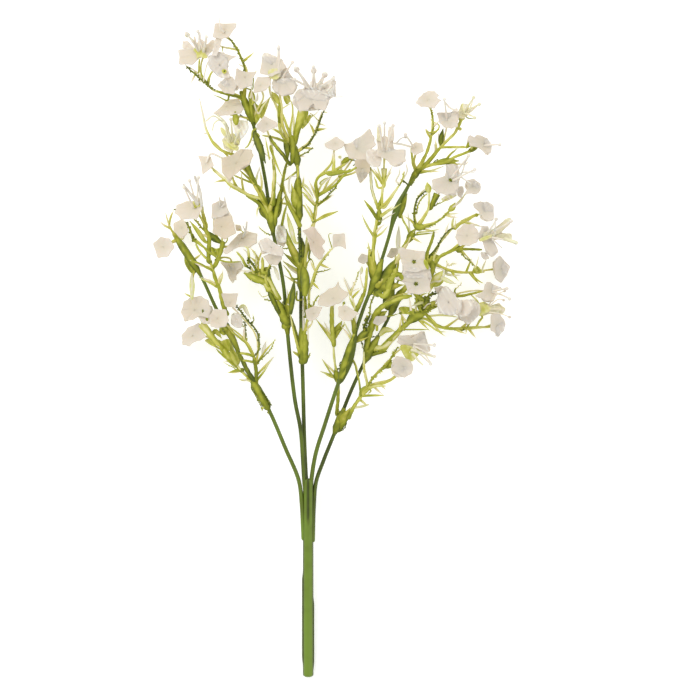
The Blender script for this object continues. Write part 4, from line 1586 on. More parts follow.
# ---------------------------------------------------------------- what a floret stands on
FLORET_KEYS = list(FLORETS)
GREEN_EYES = ["a5", "b10", "c9", "e13"]
DARK_EYES = ["d4", "e10", "e11"]
MARKED_EYES = GREEN_EYES + DARK_EYES
GREEN_EYE = 0.5
DARK_EYE = 0.1
PALE_EYE = 1.35
MARKED = {"size": 1.0, "lift": 0.35, "radius": 0.75}  # its lift above its sheet, and the sheet's hole
UNMARKED = {"size": 0.2, "lift": 0.08, "radius": 0.1}
EYE_RADII = np.array([0.65, 0.65, 0.5])
EYE_PIN = {"girth": 0.4, "foot": -0.4, "past": 0.15, "sides": 10}
EYE_BEADS = {"count": 5, "ring": 0.85, "lift": 0.3, "radius": 0.38, "lighter": 0.3}
NECK_LENGTH = 3.0
CALYX_REACH = np.array([-3.6, -NECK_LENGTH, -2.4, -1.8, -1.2, -0.7, -0.4, -0.35])  # from the eye
CALYX_SWELL = np.array([1.35, 1.42, 1.6, 1.9, 2.25, 2.6, 2.7, 0.3])  # of the twig's tip
CALYX_TONES = (0.56, 0.95)
CALYX_SIDES = 15
CALYX_FULL_SIZE = 7.5  # a floret smaller than this has a smaller calyx
CALYX_TURN = 1.3
SEPALS = 5
SEPAL = {"root": (-1.3, 0.8), "middle": -0.55, "tip": (-0.25, 0.42), "wide": 0.62, "thick": 0.2, "step": 0.6}


def floret_pin(key):
    """Where a floret's eye is, and the direction that it faces."""
    place, facing = FLORETS[key][:2]
    return np.array(place, float), unit(facing)


def outline_of(key):
    """The corners of a floret as seen from its eye, to a tenth of a millimetre and anticlockwise."""
    place = FLORETS[key][0]
    eye = (place[0] / PIXEL + PIXEL_FOOT[0], PIXEL_FOOT[1] - place[1] / PIXEL)
    pixels = [[float(number) for number in word.split(",")] for word in OUTLINES[key].split()]
    corners = [[round((x - eye[0]) * PIXEL, 1), round((eye[1] - y) * PIXEL, 1)] for x, y in pixels]
    return turned_left(np.array(corners))


def sepal(shell, centre, way, out, size):
    """A pointed leaf that holds the sheet of petals from behind."""
    root = centre + way * SEPAL["root"][0] + out * SEPAL["root"][1]
    tip = centre + way * SEPAL["tip"][0] + out * (SEPAL["tip"][1] * size)
    middle = (root + tip) / 2 + way * SEPAL["middle"]
    line = even_steps(through_points([root, middle, tip], 8), SEPAL["step"])
    part = share_along(line)
    wide = SEPAL["wide"] * np.sqrt(np.clip(1.02 - part, 0, 1)) * (0.75 + 0.5 * part)
    tube(shell, line, wide, SEPAL["thick"], 8, 0.55 + 0.4 * part, up=way)


def eye(shell, key, centre, way, outs):
    """The pin's head in the middle of a floret, with beads round it where it is marked."""
    looks = MARKED if key in MARKED_EYES else UNMARKED
    tone = GREEN_EYE if key in GREEN_EYES else DARK_EYE if key in DARK_EYES else PALE_EYE
    size = looks["size"]
    girth = EYE_PIN["girth"] * size
    pin = centre + np.outer([EYE_PIN["foot"], 0.0, looks["lift"] + EYE_PIN["past"] * size], way)
    tube(shell, pin, girth, girth, EYE_PIN["sides"], tone)
    ball(shell, centre + way * looks["lift"], EYE_RADII * size, tone)
    for k, out in enumerate(outs if looks is MARKED else []):
        place = centre + out * EYE_BEADS["ring"] + way * EYE_BEADS["lift"]
        ball(shell, place, EYE_BEADS["radius"], tone + EYE_BEADS["lighter"] * (k % 2), 8, 6)


def calyx(shell, key, girth):
    """The cup behind a floret, its sepals, and its eye."""
    centre, way = floret_pin(key)
    size = np.linalg.norm(outline_of(key), axis=1).mean()
    spine = centre + np.outer(CALYX_REACH, way)
    girths = girth * CALYX_SWELL * min(1.0, size / CALYX_FULL_SIZE)
    tones = np.linspace(*CALYX_TONES, len(spine))
    tube(shell, spine, girths, girths, CALYX_SIDES, tones, lobes=(5, 0.1))
    side, high = frames_along(spine[:2], UP if abs(way[2]) < 0.95 else (0, 1, 0))

    def out_at(turn):
        angle = FLORET_KEYS.index(key) * CALYX_TURN + turn
        return math.cos(angle) * side[0] + math.sin(angle) * high[0]

    for k in range(SEPALS):
        sepal(shell, centre, way, out_at((k + 0.5) * FULL_TURN / SEPALS), size)
    shell.tint = PLAIN if key in MARKED_EYES else PINKISH  # this stays for what the sprig adds next
    count = EYE_BEADS["count"]
    eye(shell, key, centre, way, [out_at(k * FULL_TURN / count) for k in range(count)])


# ---------------------------------------------------------------- the sprigs
SLEEVE_CAP = 2.2  # how far a sleeve goes on past its branch's tip
SLEEVE_STEP = 0.7
SLEEVE_SIDES = 20
SLEEVE_TAPER = {"a": 8.0, "b": 6.5, "c": 3.0, "d": 7.0, "e": 3.5}  # how far its foot narrows
SLEEVE_FOOT = 0.46  # of its girth, at its foot
SLEEVE_COLLAR = (0.16, 0.8)  # how far the collar stands out, and how broad it is
SLEEVE_CLOSING = 0.5  # how much it draws in at its end
SLEEVE_FLAT = 0.96
SLEEVE_LOBES = (3, 0.035)
SLEEVE_STOPS = 12
SLEEVE_TONE = (0.14, 0.2)  # at its foot, and what it gains to its end
SLEEVE_TONE_WAVE = (0.05, 0.9)
TWIG_STEP = 0.8
TWIG_SIDES = 12
TWIG_SHARE = 0.68  # of the solid's twig
TWIG_WAVE = 0.08
FORK_REACH = 2.4  # how far a twig's broad foot runs along it
FORK_WIDE = 0.85
FORK_THICK = 0.25
FORK_DARK = 0.25
TWIG_END = (0.35, 0.75)  # how much narrower one without a floret ends, and from which share of it
TWIG_TONE = (0.62, 0.22)  # at its foot, and what it gains to its tip
TWIG_TONE_SPREAD = 0.26
NECK_SWELL = (0.35, 5.0)  # how much a twig swells below its floret, and how far
NEEDLE_WIDE = 0.52
NEEDLE_THICK = 0.32
NEEDLE_STEP = 0.8
NEEDLE_BOW = (0.14, 0.08)  # to the side and upwards, of its length
NEEDLE_FOOT = (0.9, 1.1)  # how much broader its foot is, and how far
NEEDLE_TONE = (0.66, 0.28)
NEEDLE_TONE_SPREAD = 0.36
NEEDLE_SIDES = 10
BLADE_ARCH = 0.1  # of its length
BLADE_STEP = 0.7
BLADE_THICK = 0.42
BLADE_EDGE = 0.12
BLADE_SIDES = 16
BLADE_TONE = (0.28, 0.4)
BLADE_END_THIN = 0.5
LEAF_CREASE = (2, 0.1)


def on_branch(line, height):
    return np.array([np.interp(height, line[:, 1], line[:, k]) for k in range(3)])


def sleeve(shell, key, foot, top, foot_girth, top_girth):
    """The tube that clasps the branch, from one height to another."""
    line = branch_line(key)
    tip = line[-1]
    heights = np.linspace(foot, min(top, tip[1]), SLEEVE_STOPS)
    stops = [on_branch(line, min(height, tip[1])) for height in heights]
    if top > tip[1]:
        stops.append(tip + unit(tip - stops[0]) * SLEEVE_CAP)
    spine = even_steps(np.array(stops), SLEEVE_STEP)
    far = along(spine)
    part = far / far[-1]
    taper = SLEEVE_TAPER[key]
    stands, broad = SLEEVE_COLLAR
    girth = between(foot_girth, top_girth, part) * between(SLEEVE_FOOT, 1, smooth(far, -1.0, taper))
    girth = (girth + stands * bump(far, taper, broad)) * (1 - SLEEVE_CLOSING * smooth(part, 0.65, 1.0))
    wave, often = SLEEVE_TONE_WAVE
    tone = SLEEVE_TONE[0] + SLEEVE_TONE[1] * part + wave * np.sin(far * often)
    tube(shell, spine, girth, girth * SLEEVE_FLAT, SLEEVE_SIDES, tone, lobes=SLEEVE_LOBES)
    return spine


def twig(shell, row, draw):
    """A twig along its route, which ends in a floret's calyx where the row names one."""
    foot_girth, tip_girth, route = row[:3]
    key = row[3] if len(row) > 3 else None
    points = [np.array(point, float) for point in route]
    if key:
        centre, way = floret_pin(key)
        points.append(centre - way * NECK_LENGTH)
    spine = even_steps(through_points(points), TWIG_STEP)
    far = along(spine)
    part = far / far[-1]
    girth = TWIG_SHARE * between(foot_girth, tip_girth, part)
    girth = girth * (1 + TWIG_WAVE * np.sin(far * (0.8 + 0.5 * draw()) + 6 * draw()))
    if key:
        swell, reach = NECK_SWELL
        girth = girth * (1 + swell * smooth(far, far[-1] - reach, far[-1]))
    else:
        narrower, from_part = TWIG_END
        girth = girth * (1 - narrower * smooth(part, from_part, 1.0))
    fork = np.exp(-far / FORK_REACH)
    tone = TWIG_TONE[0] + TWIG_TONE[1] * part + TWIG_TONE_SPREAD * (draw() - 0.5)
    tone = tone + 0.06 * smooth(1.2 - foot_girth, 0, 0.6)
    tone = tone - FORK_DARK * fork
    tube(shell, spine, girth * (1 + FORK_WIDE * fork), girth * (1 + FORK_THICK * fork), TWIG_SIDES, tone)
    if key:
        calyx(shell, key, TWIG_SHARE * tip_girth)
    return spine


def needle(shell, root, tip, draw):
    """A narrow pointed leaf with a bow."""
    root = np.array(root, float)
    tip = np.array(tip, float)
    way = tip - root
    length = np.linalg.norm(way)
    side = unit(np.cross(way, UP))
    sideways = side * length * NEEDLE_BOW[0] * (draw() - 0.5)
    bow = sideways + np.array(UP) * length * NEEDLE_BOW[1] * (draw() - 0.3)
    spine = even_steps(through_points([root, (root + tip) / 2 + bow, tip], 12), NEEDLE_STEP)
    part = share_along(spine)
    form = (0.8 + 0.35 * np.sin(math.pi * np.minimum(part * 1.2, 1.0))) * (1 - 0.72 * smooth(part, 0.55, 1.0))
    broader, reach = NEEDLE_FOOT
    foot = 1 + broader * np.exp(-part * length / reach)
    tone = NEEDLE_TONE[0] + NEEDLE_TONE[1] * part + NEEDLE_TONE_SPREAD * (draw() - 0.5)
    tilt = unit(np.array([0.5 * (draw() - 0.5), 0.5 * (draw() - 0.5), 1.0]))
    wide = NEEDLE_WIDE * form * foot
    thick = NEEDLE_THICK * form * (0.6 + 0.4 * foot)
    tube(shell, spine, wide, thick, NEEDLE_SIDES, tone, up=tilt)
    return spine


def blade(shell, root, tip, half_width):
    """A flat leaf, widest before its middle, with a crease along it and an arch."""
    root = np.array(root, float)
    tip = np.array(tip, float)
    length = np.linalg.norm(tip - root)
    middle = (root + tip) / 2 + (0, 0, length * BLADE_ARCH)
    part = np.linspace(0, 1, max(10, int(length / BLADE_STEP)))
    spine = bow_through(root, middle, tip, part)
    wide = half_width * (1 - part) * (0.45 + 1.6 * np.sin(math.pi * part)) + BLADE_EDGE
    thick = BLADE_THICK * (1 - BLADE_END_THIN * part)
    tones = BLADE_TONE[0] + BLADE_TONE[1] * part
    tube(shell, spine, wide, thick, BLADE_SIDES, tones, lobes=LEAF_CREASE)
    return spine


# ---------------------------------------------------------------- what grows on the sprigs
GROWTH_STEP = 0.6
THIN_PALE = 0.26  # how much paler the thinnest growth is
THIN_GIRTHS = (0.3, 1.2)
REACH_TO_TWIG = 0.6  # a root further than this from a twig is led back to it
MEETS_TWIG = 1.3
RISE = (-0.1, 0.45)  # the least and the most that a growth rises along its length
RISE_BOW = 0.12  # of its length
LOWEST_GROWTH = 1.0
STALK_TONE_SPREAD = 0.08
STALK_SIDES = {"n": 10, "l": 16, "c": 20, "r": 12, "k": 12}
ROD_WAVE = (0.07, 1.7)  # how much its girth turns, and how often
ROD_FLAT = 0.9  # how thick it is, of its width
ROD_END = (0.35, 0.85)  # how much narrower it ends, and from which share of its length
LISTED_NEEDLE_FLAT = 0.75
LISTED_NEEDLE_END = (0.6, 0.7)
LEAF_BELLY = (0.5, 0.6, 1.15)  # its width at its foot, what its belly adds, and how early that comes
LEAF_END = (0.6, 0.8)
LEAF_THICK = (0.34, 0.4)  # its half thickness at its foot, and how much thinner it ends
CUP_LOBES = (5, 0.07)
CUP_DEPTH = 0.9  # of its half width at its rim
KNOB_SPACING = 0.95
KNOB_SIZE = (0.36, 0.5)  # of the rod's radius, at least and what a draw adds
KNOB_LEAST_ROD = 0.5  # a thinner rod has knobs of this one
KNOB_OUT = 1.15  # how far out a knob sits, of the rod's radius
KNOB_TONES = (0.55, 0.35)  # how much its tone varies, and the draw where it is the rod's
KNOB_SIDES = (7, 5)
KNOBBED = 0.72  # of its listed width, the rod that carries the knobs
WEB_THICKNESS = 0.55
SHEET_THICKNESS = 0.36
SHEET_RINGS = 7
SHEET_EDGE_STEP = 0.6
SHEET_WAVE = (0.25, 1.9, 1.6)  # how high its waves are, and how often they come in X and in Y
SHEET_STRIPE = (2.3, 1.1)  # how often its stripes come in X and in Y
SHEET_EDGE_THIN = 0.6  # how much thinner it is at its edge
LOWEST_SHEET = 0.6
SOFTEN = 0.25  # the share that is cut off each corner the second time
WEB_CUT = 0.2  # and the first time
WEB_TONE_SPREAD = 0.05
SKIN_RISE = 0.08  # how much it rises away from the eye
SKIN_EDGE_LIGHT = 0.12
SKIN_STRIPE = 0.03
STRIPE = 0.1
SPRIG_SEED = 100
STEEPEST = 0.9  # the most that a floret slopes as a whole


def nearest(spines, place):
    """How far the nearest place of the spines is, as seen from above, and that place."""
    gaps = np.linalg.norm(spines[:, :2] - place[:2], axis=1)
    return gaps.min(), spines[np.argmin(gaps)]


def set_heights(flat, spines, draw):
    """The route in three dimensions, rooted in what it grows from."""
    from_first = nearest(spines, flat[0])
    from_last = nearest(spines, flat[-1])
    backwards = from_first[0] > MEETS_TWIG and from_last[0] < from_first[0] / 2
    if backwards:
        flat = flat[::-1]
        from_first, from_last = from_last, from_first
    far = along(flat)
    foot = from_first[1][2]
    last = foot + far[-1] * between(*RISE, draw())
    if from_last[0] < MEETS_TWIG:
        last = from_last[1][2]
    part = far / far[-1]
    bow = RISE_BOW * far[-1] * np.sin(math.pi * part) * draw()
    route = np.column_stack([flat, np.maximum(between(foot, last, part) + bow, LOWEST_GROWTH)])
    if from_first[0] > REACH_TO_TWIG:
        route = np.vstack([from_first[1], route])
    return route[::-1] if backwards else route


def knobs(shell, spine, girths, tones, draw):
    """Small beads all round a rod."""
    side, high = frames_along(spine, UP)
    far = along(spine)
    for reach in np.arange(KNOB_SPACING / 2, far[-1], KNOB_SPACING):
        k = int(np.argmin(np.abs(far - reach)))
        turn = FULL_TURN * draw()
        out = unit((math.cos(turn) * side[k] + math.sin(turn) * high[k]) * (1, 1, 0.4))
        radius = max(girths[k], KNOB_LEAST_ROD) * (KNOB_SIZE[0] + KNOB_SIZE[1] * draw())
        tone = tones[k] + KNOB_TONES[0] * (draw() - KNOB_TONES[1])
        ball(shell, spine[k] + out * girths[k] * KNOB_OUT, radius, tone, *KNOB_SIDES)


def sheet(shell, corners, tones, thickness, cut, draw, striped=STRIPE):
    """A thin waved sheet inside an outline. tones is from its middle and at its edge."""
    loop = cut_corners(cut_corners(corners, cut), SOFTEN)
    loop = turned_left(even_steps(np.vstack([loop, loop[:1]]), SHEET_EDGE_STEP)[:-1])
    middle = loop.mean(axis=0)
    parts = np.linspace(0.04, 1, SHEET_RINGS)[:, None]
    grid = middle + (loop - middle) * parts[..., None]
    x, y = grid[..., 0], grid[..., 1]
    wave, often_x, often_y = SHEET_WAVE
    waves = wave * np.sin(x * often_x + 6 * draw()) * np.sin(y * often_y + 6 * draw())
    grid[..., 2] = np.maximum(grid[..., 2] + waves, LOWEST_SHEET)
    thin = np.zeros_like(grid)
    thin[..., 2] = thickness / 2 * (1 - SHEET_EDGE_THIN * parts**4)
    stripe = striped * np.sin(x * SHEET_STRIPE[0] + y * SHEET_STRIPE[1] + 6 * draw())
    two_faced(shell, grid - thin, grid + thin, between(*tones, parts) + stripe)


def web(shell, flat, spines, tone, draw):
    """A thin skin that fills the outline between twigs."""
    heights = np.array([nearest(spines, corner)[1][2] for corner in flat])
    corners = np.column_stack([flat, (heights + heights.mean()) / 2])
    tones = (tone - WEB_TONE_SPREAD, tone + WEB_TONE_SPREAD)
    sheet(shell, corners, tones, WEB_THICKNESS, WEB_CUT, draw)


def bud(shell, flat, spines, width, tone):
    centre = np.append(flat[0], nearest(spines, flat[0])[1][2])
    ball(shell, centre, width * PIXEL / 2, tone)


def lean(key, share):
    """A floret's centre, and how steeply its plane rises in X and in Y, or a share of that."""
    centre, way = floret_pin(key)
    tilt = -way[:2] / max(way[2], 0.3)
    return centre, tilt * share * min(1.0, STEEPEST / max(np.linalg.norm(tilt), 1e-6))


def skin(shell, flat, key, lift, tone, draw):
    """A green skin that lies on a floret."""
    centre, tilt = lean(key, 1.0)
    far = flat - centre[:2]
    heights = centre[2] + lift + far @ tilt + SKIN_RISE * np.linalg.norm(far, axis=1)
    corners = np.column_stack([flat, heights])
    tones = (tone, tone + SKIN_EDGE_LIGHT)
    sheet(shell, corners, tones, SHEET_THICKNESS, WEB_CUT, draw, SKIN_STRIPE)


def stalk(shell, kind, flat, spines, widths, tones, draw):
    """A rod, knobbed rod, needle, leaf or cup along a route. It gives back its spine."""
    spine = even_steps(through_points(set_heights(flat, spines, draw)), GROWTH_STEP)
    part = share_along(spine)
    half = PIXEL / 2 * between(*widths, part)
    tones = between(*tones, part) + STALK_TONE_SPREAD * (draw() - 0.5)
    sides = STALK_SIDES[kind]
    if kind != "k":
        tones = tones + THIN_PALE * (1 - smooth(half, *THIN_GIRTHS))
    if kind == "n":
        narrower, from_part = LISTED_NEEDLE_END
        half = half * (1 - narrower * smooth(part, from_part, 1.0))
        tube(shell, spine, half, half * LISTED_NEEDLE_FLAT, sides, tones)
    elif kind == "l":
        foot, swell, early = LEAF_BELLY
        narrower, from_part = LEAF_END
        thick, thinner = LEAF_THICK
        belly = foot + swell * np.sin(math.pi * np.minimum(part * early, 1.0))
        half = half * belly * (1 - narrower * smooth(part, from_part, 1))
        tube(shell, spine, half, thick * (1 - thinner * part), sides, tones, lobes=LEAF_CREASE)
    elif kind == "c":
        tube(shell, spine, half, half * ROD_FLAT, sides, tones, lobes=CUP_LOBES, cup=half[-1] * CUP_DEPTH)
    else:
        wave, often = ROD_WAVE
        narrower, from_part = ROD_END
        bumps = 1 + wave * np.sin(along(spine) * often + 6 * draw())
        bumps = bumps * (1 - narrower * smooth(part, from_part, 1.0)) * (KNOBBED if kind == "k" else 1.0)
        tube(shell, spine, half * bumps, half * bumps * ROD_FLAT, sides, tones)
    if kind == "k":
        knobs(shell, spine, half, tones, draw)
    return spine


def growth(shell, line, spines, draw):
    """One line of the growth table. It gives back its spine, which later lines may root in."""
    words, route = line.split("|")
    kind, *numbers = words.split()
    flat = from_pixels(route)
    if kind == "s":
        key, lift, tone = numbers
        skin(shell, flat, key, float(lift), float(tone), draw)
        return spines[:0]
    shell.tint = GREYISH if numbers[-1] == "g" else PLAIN
    sizes = [float(number) for number in numbers if number != "g"]
    if kind == "w":
        web(shell, flat, spines, *sizes, draw)
        return spines[:0]
    if kind == "b":
        bud(shell, flat, spines, *sizes)
        return spines[:0]
    *widths, foot_tone, end_tone = sizes
    return stalk(shell, kind, flat, spines, (widths[0], widths[-1]), (foot_tone, end_tone), draw)


def sprig_piece(name, number, material):
    row = SPRIGS[name]
    draw = seeded_draw(SPRIG_SEED + number)
    shell = Shell()
    spines = [sleeve(shell, *row["sleeve"])]
    for line in row["twigs"]:
        spines.append(twig(shell, line, draw))
    for root, tip in row["needles"]:
        spines.append(needle(shell, root, tip, draw))
    for root, tip, half_width in row["blades"]:
        spines.append(blade(shell, root, tip, half_width))
    for line in GROWTH[name].strip().splitlines():
        spines.append(growth(shell, line, np.vstack(spines), draw))
    shell.build(name + "_form", material, name)


# ---------------------------------------------------------------- the florets
RISE_SPREAD = 22.0
OUTLINE_STEP = 0.7
COROLLA_ROWS = 11
COROLLA_CROWD = 0.85  # below 1, its rows stand closer at its edge
COROLLA_LOOKS = 6  # draws for each petal
PETAL_SIDES = (0.16, 0.3)  # how far they rise, of its length, and the draw where they don't
PETAL_WAVE = (0.03, 3.4)  # how high it is, of its length, and how often it comes across
PETAL_CREASE = (0.01, 0.16)  # how deep it is, of its length, and how broad
PETAL_SEAM = (0.025, 0.12)  # the same, for the seam between two petals
PETAL_CURL = (0.12, 0.25)  # how far its end goes down, of its length, and the draw where it doesn't
PETAL_EDGE_THIN = 0.45
COROLLA_TONE = 0.58  # at the end of a petal
COROLLA_TONE_SPREAD = 0.1
SEAM_DARK = 0.08
EDGE_CUT = 0.16
PATCH_CUT = 0.12
PATCH_SEED = 300
ONE_PETAL = 42.0  # corners closer than this, in degrees, end the same petal
DIP = 0.07  # how far the edge between two petals draws in
LEAST_DIP = 3.0
THREAD_RING = 1.2
THREAD_BOW = 1.5
THREAD_PLACES = 14
THREAD_GIRTH = 0.48
THREAD_TAPER = (1.25, 0.4)  # of that at its root, and how much it loses to its tip
THREAD_SIDES = 8
THREAD_TIP = np.array([1.0, 1.0, 0.9])
THREAD_TONE = 0.77
FILAMENT_LIFT = 0.3
FILAMENT_RISE = 0.45
FILAMENT_BALL = 0.55  # millimetres for each pixel of the filament's width
FILAMENT_BALL_DARK = 0.1
FILAMENT_SIDES = 10
PATCH_TONES = np.array([0.4, 0.75])
PATCH_LEAN = 0.5  # how much a patch leans with its floret
MARKS = {"g": GREYISH, "e": BEIGE, "y": LIME, "w": PLAIN}
WHITE_LIFT = 0.25  # how much paler a patch marked w is
FLORET_TINTS = {
    "b5": LIME, "d9": LIME, "e7": LIME, "d2": GREYISH, "d11": GREYISH, "e4": GREYISH,
    "c3": PINKISH, "b4": BEIGE, "a9": BEIGE, "c7": BEIGE,
}


def petals_of(corners):
    """The middle direction and the length of each petal."""
    angles = np.arctan2(corners[:, 1], corners[:, 0])
    lengths = np.linalg.norm(corners, axis=1)
    groups = [[0]]
    for k in range(1, len(corners)):
        if (angles[k] - angles[groups[-1][0]]) % FULL_TURN < math.radians(ONE_PETAL):
            groups[-1].append(k)
        else:
            groups.append([k])
    middles = [math.atan2(corners[g, 1].sum(), corners[g, 0].sum()) % FULL_TURN for g in groups]
    reach = [lengths[g].max() for g in groups]
    order = np.argsort(middles)
    return np.array(middles)[order], np.array(reach)[order]


def edge_of(corners):
    """The outline, with the long stretches between its corners drawn in towards the eye."""
    loop = []
    for k, corner in enumerate(corners):
        after = corners[(k + 1) % len(corners)]
        loop.append(corner)
        if np.linalg.norm(after - corner) > LEAST_DIP:
            middle = (corner + after) / 2
            loop.append(middle * (1 - DIP))
    loop = cut_corners(cut_corners(np.array(loop), EDGE_CUT), SOFTEN)
    closed = np.vstack([loop, loop[:1]])
    return even_steps(np.column_stack([closed, np.zeros(len(closed))]), OUTLINE_STEP)[:-1, :2]


def corolla(shell, key):
    """One sheet of petals that are joined round the eye. Of the draws, the first two of each petal
    are for looks that it no longer has: they keep the others what they are."""
    place, _, (root_rise, end_rise), _ = FLORETS[key]
    corners = outline_of(key)
    draw = seeded_draw(FLORET_KEYS.index(key))
    middles, lengths = petals_of(corners)
    looks = np.array([[draw() for _ in range(COROLLA_LOOKS)] for _ in middles])

    # the grid in the plane of the floret: rows from the eye out, places round it
    flat = edge_of(corners)
    angles = np.arctan2(flat[:, 1], flat[:, 0])
    hole = (MARKED if key in MARKED_EYES else UNMARKED)["radius"]
    inner = np.column_stack([np.cos(angles), np.sin(angles)]) * hole
    rows = np.linspace(0, 1, COROLLA_ROWS) ** COROLLA_CROWD
    grid = inner[None] + (flat - inner)[None] * rows[:, None, None]

    # which petal each place is on, and where on it: across is -1 to 1, part is 0 to 1
    out = np.linalg.norm(grid, axis=2)
    angle = np.arctan2(grid[..., 1], grid[..., 0]) % FULL_TURN
    turns = (angle[..., None] - middles + math.pi) % FULL_TURN - math.pi
    which = np.argmin(np.abs(turns), axis=-1)
    turn = np.take_along_axis(turns, which[..., None], axis=-1)[..., 0]
    gaps = np.diff(np.r_[middles, middles[0] + FULL_TURN])
    across = turn / (np.where(turn > 0, gaps[which], np.roll(gaps, 1)[which]) / 2)
    length = lengths[which]
    part = out / length
    _, _, side_draw, wave_draw, curl_draw, rise_draw = np.moveaxis(looks[which], -1, 0)

    # how high each place is: the lean, the rise of the petals, waves, creases, seams and curled ends
    root = math.radians(root_rise)
    spread = np.radians((rise_draw - 0.5) * RISE_SPREAD)
    end = math.radians(end_rise) + spread * smooth(part, 0.35, 0.95) * (1 - across**2)
    mean = root + (end - root) * part * 0.5
    edge = smooth(part, 0.3, 1.0)
    crease = bump(across, 0, PETAL_CREASE[1]) * smooth(part, 0.15, 0.5)
    seam = bump(np.abs(across), 1, PETAL_SEAM[1]) * smooth(part, 0.1, 0.6)
    height = grid @ lean(key, 1.0)[1] + out * np.tan(mean)
    height += length * edge * (PETAL_SIDES[0] * (side_draw - PETAL_SIDES[1]) * across**2)
    height += length * edge * PETAL_WAVE[0] * np.sin(across * PETAL_WAVE[1] + 6.3 * wave_draw)
    height -= length * PETAL_CREASE[0] * crease * (1 - 0.6 * smooth(part, 0.7, 1))
    height -= length * PETAL_SEAM[0] * seam
    height -= length * PETAL_CURL[0] * (curl_draw - PETAL_CURL[1]) * smooth(part, 0.7, 1.05) ** 2
    places = np.stack([grid[..., 0], grid[..., 1], height], axis=-1)

    # the two faces of the sheet, along its normals
    round_it = np.roll(places, -1, axis=1) - np.roll(places, 1, axis=1)
    normal = np.cross(np.gradient(places, axis=0), round_it)
    normal /= np.maximum(np.linalg.norm(normal, axis=2), 1e-9)[..., None]
    thin = SHEET_THICKNESS / 2 * (1 - PETAL_EDGE_THIN * smooth(part, 0.6, 1.0))[..., None]
    faces = np.stack([places - normal * thin, places + normal * thin]) + np.array(place, float)
    faces[..., 2] = np.maximum(faces[..., 2], 0.0)
    tones = COROLLA_TONE * part + COROLLA_TONE_SPREAD * (draw() - 0.5) - SEAM_DARK * seam
    two_faced(shell, *faces, tones)


def threads(shell, key):
    """The long threads of a floret, which end in balls."""
    centre, way = floret_pin(key)
    for tip in np.array(FLORETS[key][3], float):
        out = tip - centre
        root = centre + unit(out - way * np.dot(out, way)) * THREAD_RING
        part = np.linspace(0, 1, THREAD_PLACES)
        spine = bow_through(root, (root + tip) / 2 + way * THREAD_BOW, tip, part)
        girth = THREAD_GIRTH * (THREAD_TAPER[0] - THREAD_TAPER[1] * part)
        tube(shell, spine, girth, girth, THREAD_SIDES, THREAD_TONE)
        ball(shell, tip, THREAD_TIP, THREAD_TONE)


def patch(shell, key, flat, lift, paler, draw):
    """A sheet of petal beside a floret's own."""
    centre, tilt = lean(key, PATCH_LEAN)
    heights = centre[2] + lift + (flat - centre[:2]) @ tilt
    corners = np.column_stack([flat, heights])
    sheet(shell, corners, PATCH_TONES + paler, SHEET_THICKNESS, PATCH_CUT, draw)


def filament(shell, key, flat, widths, has_ball):
    """A thin thread that rises from a floret."""
    centre = floret_pin(key)[0]
    far = np.linalg.norm(flat - centre[:2], axis=1)
    heights = centre[2] + FILAMENT_LIFT + far * FILAMENT_RISE
    spine = even_steps(through_points(np.column_stack([flat, heights])), GROWTH_STEP)
    half = PIXEL / 2 * between(*widths, share_along(spine))
    tube(shell, spine, half, half, FILAMENT_SIDES, THREAD_TONE)
    if has_ball:
        ball(shell, spine[-1], FILAMENT_BALL * widths[0], THREAD_TONE - FILAMENT_BALL_DARK)


def petal_growth(shell, key, line, draw):
    """One line of the table of patches and filaments."""
    words, route = line.split("|")
    kind, *numbers = words.split()
    mark = numbers.pop() if numbers[-1] in MARKS else ""
    shell.tint = MARKS[mark] if mark else FLORET_TINTS.get(key, PLAIN)
    sizes = [float(number) for number in numbers]
    if kind == "p":
        patch(shell, key, from_pixels(route), *sizes, WHITE_LIFT if mark == "w" else 0.0, draw)
    else:
        filament(shell, key, from_pixels(route), sizes, kind == "o")


def head_piece(keys, material):
    """The florets that lie against each other, as one piece."""
    shell = Shell()
    for key in keys:
        shell.tint = FLORET_TINTS.get(key, PLAIN)
        corolla(shell, key)
        threads(shell, key)
        draw = seeded_draw(PATCH_SEED + FLORET_KEYS.index(key))
        for line in PETALS.get(key, "").strip().splitlines():
            petal_growth(shell, key, line, draw)
    node = "florets_" + "_".join(keys)
    shell.build(node + "_form", material, node)


# ---------------------------------------------------------------- materials
MOTTLE_SCALE = 160.0
MOTTLE_DETAIL = 3.0
GRAIN_DETAIL = 4.0
GRAIN_DEPTH = 0.0002
WEAR = (-0.08, 0.1)  # how much smoother and how much rougher than its roughness a plastic gets
SOFT_REACH = 0.001
# From where on the tint ramp, and what it multiplies a colour by.
TINTS = [
    (0.0, (0.88, 0.90, 0.92)), (0.2, (0.95, 0.92, 0.84)), (0.4, (1.0, 1.0, 1.0)), (0.6, (1.0, 0.95, 0.93)),
    (0.8, (0.97, 1.0, 0.80)),
]
PETAL = {
    "stops": [(0.0, (207, 198, 178)), (0.15, (211, 202, 184)), (0.4, (215, 205, 190)), (0.7, (218, 208, 195)),
              (0.82, (236, 230, 216)), (1.0, (250, 247, 240))],
    "mottling": 0.22, "roughness": 0.55, "soft": 0.3, "soft_radius": (1.0, 0.8, 0.6),
    "bump": 0.12, "grain": 900.0, "shine": 0.35,
}
SPRIG = {
    "stops": [(0.0, (78, 90, 6)), (0.25, (124, 131, 20)), (0.45, (162, 165, 46)), (0.65, (196, 194, 88)),
              (0.85, (221, 217, 152)), (1.0, (230, 222, 198))],
    "mottling": 0.6, "roughness": 0.5, "soft": 0.1, "soft_radius": (0.7, 1.0, 0.2),
    "bump": 0.15, "grain": 700.0, "shine": 0.35,
}
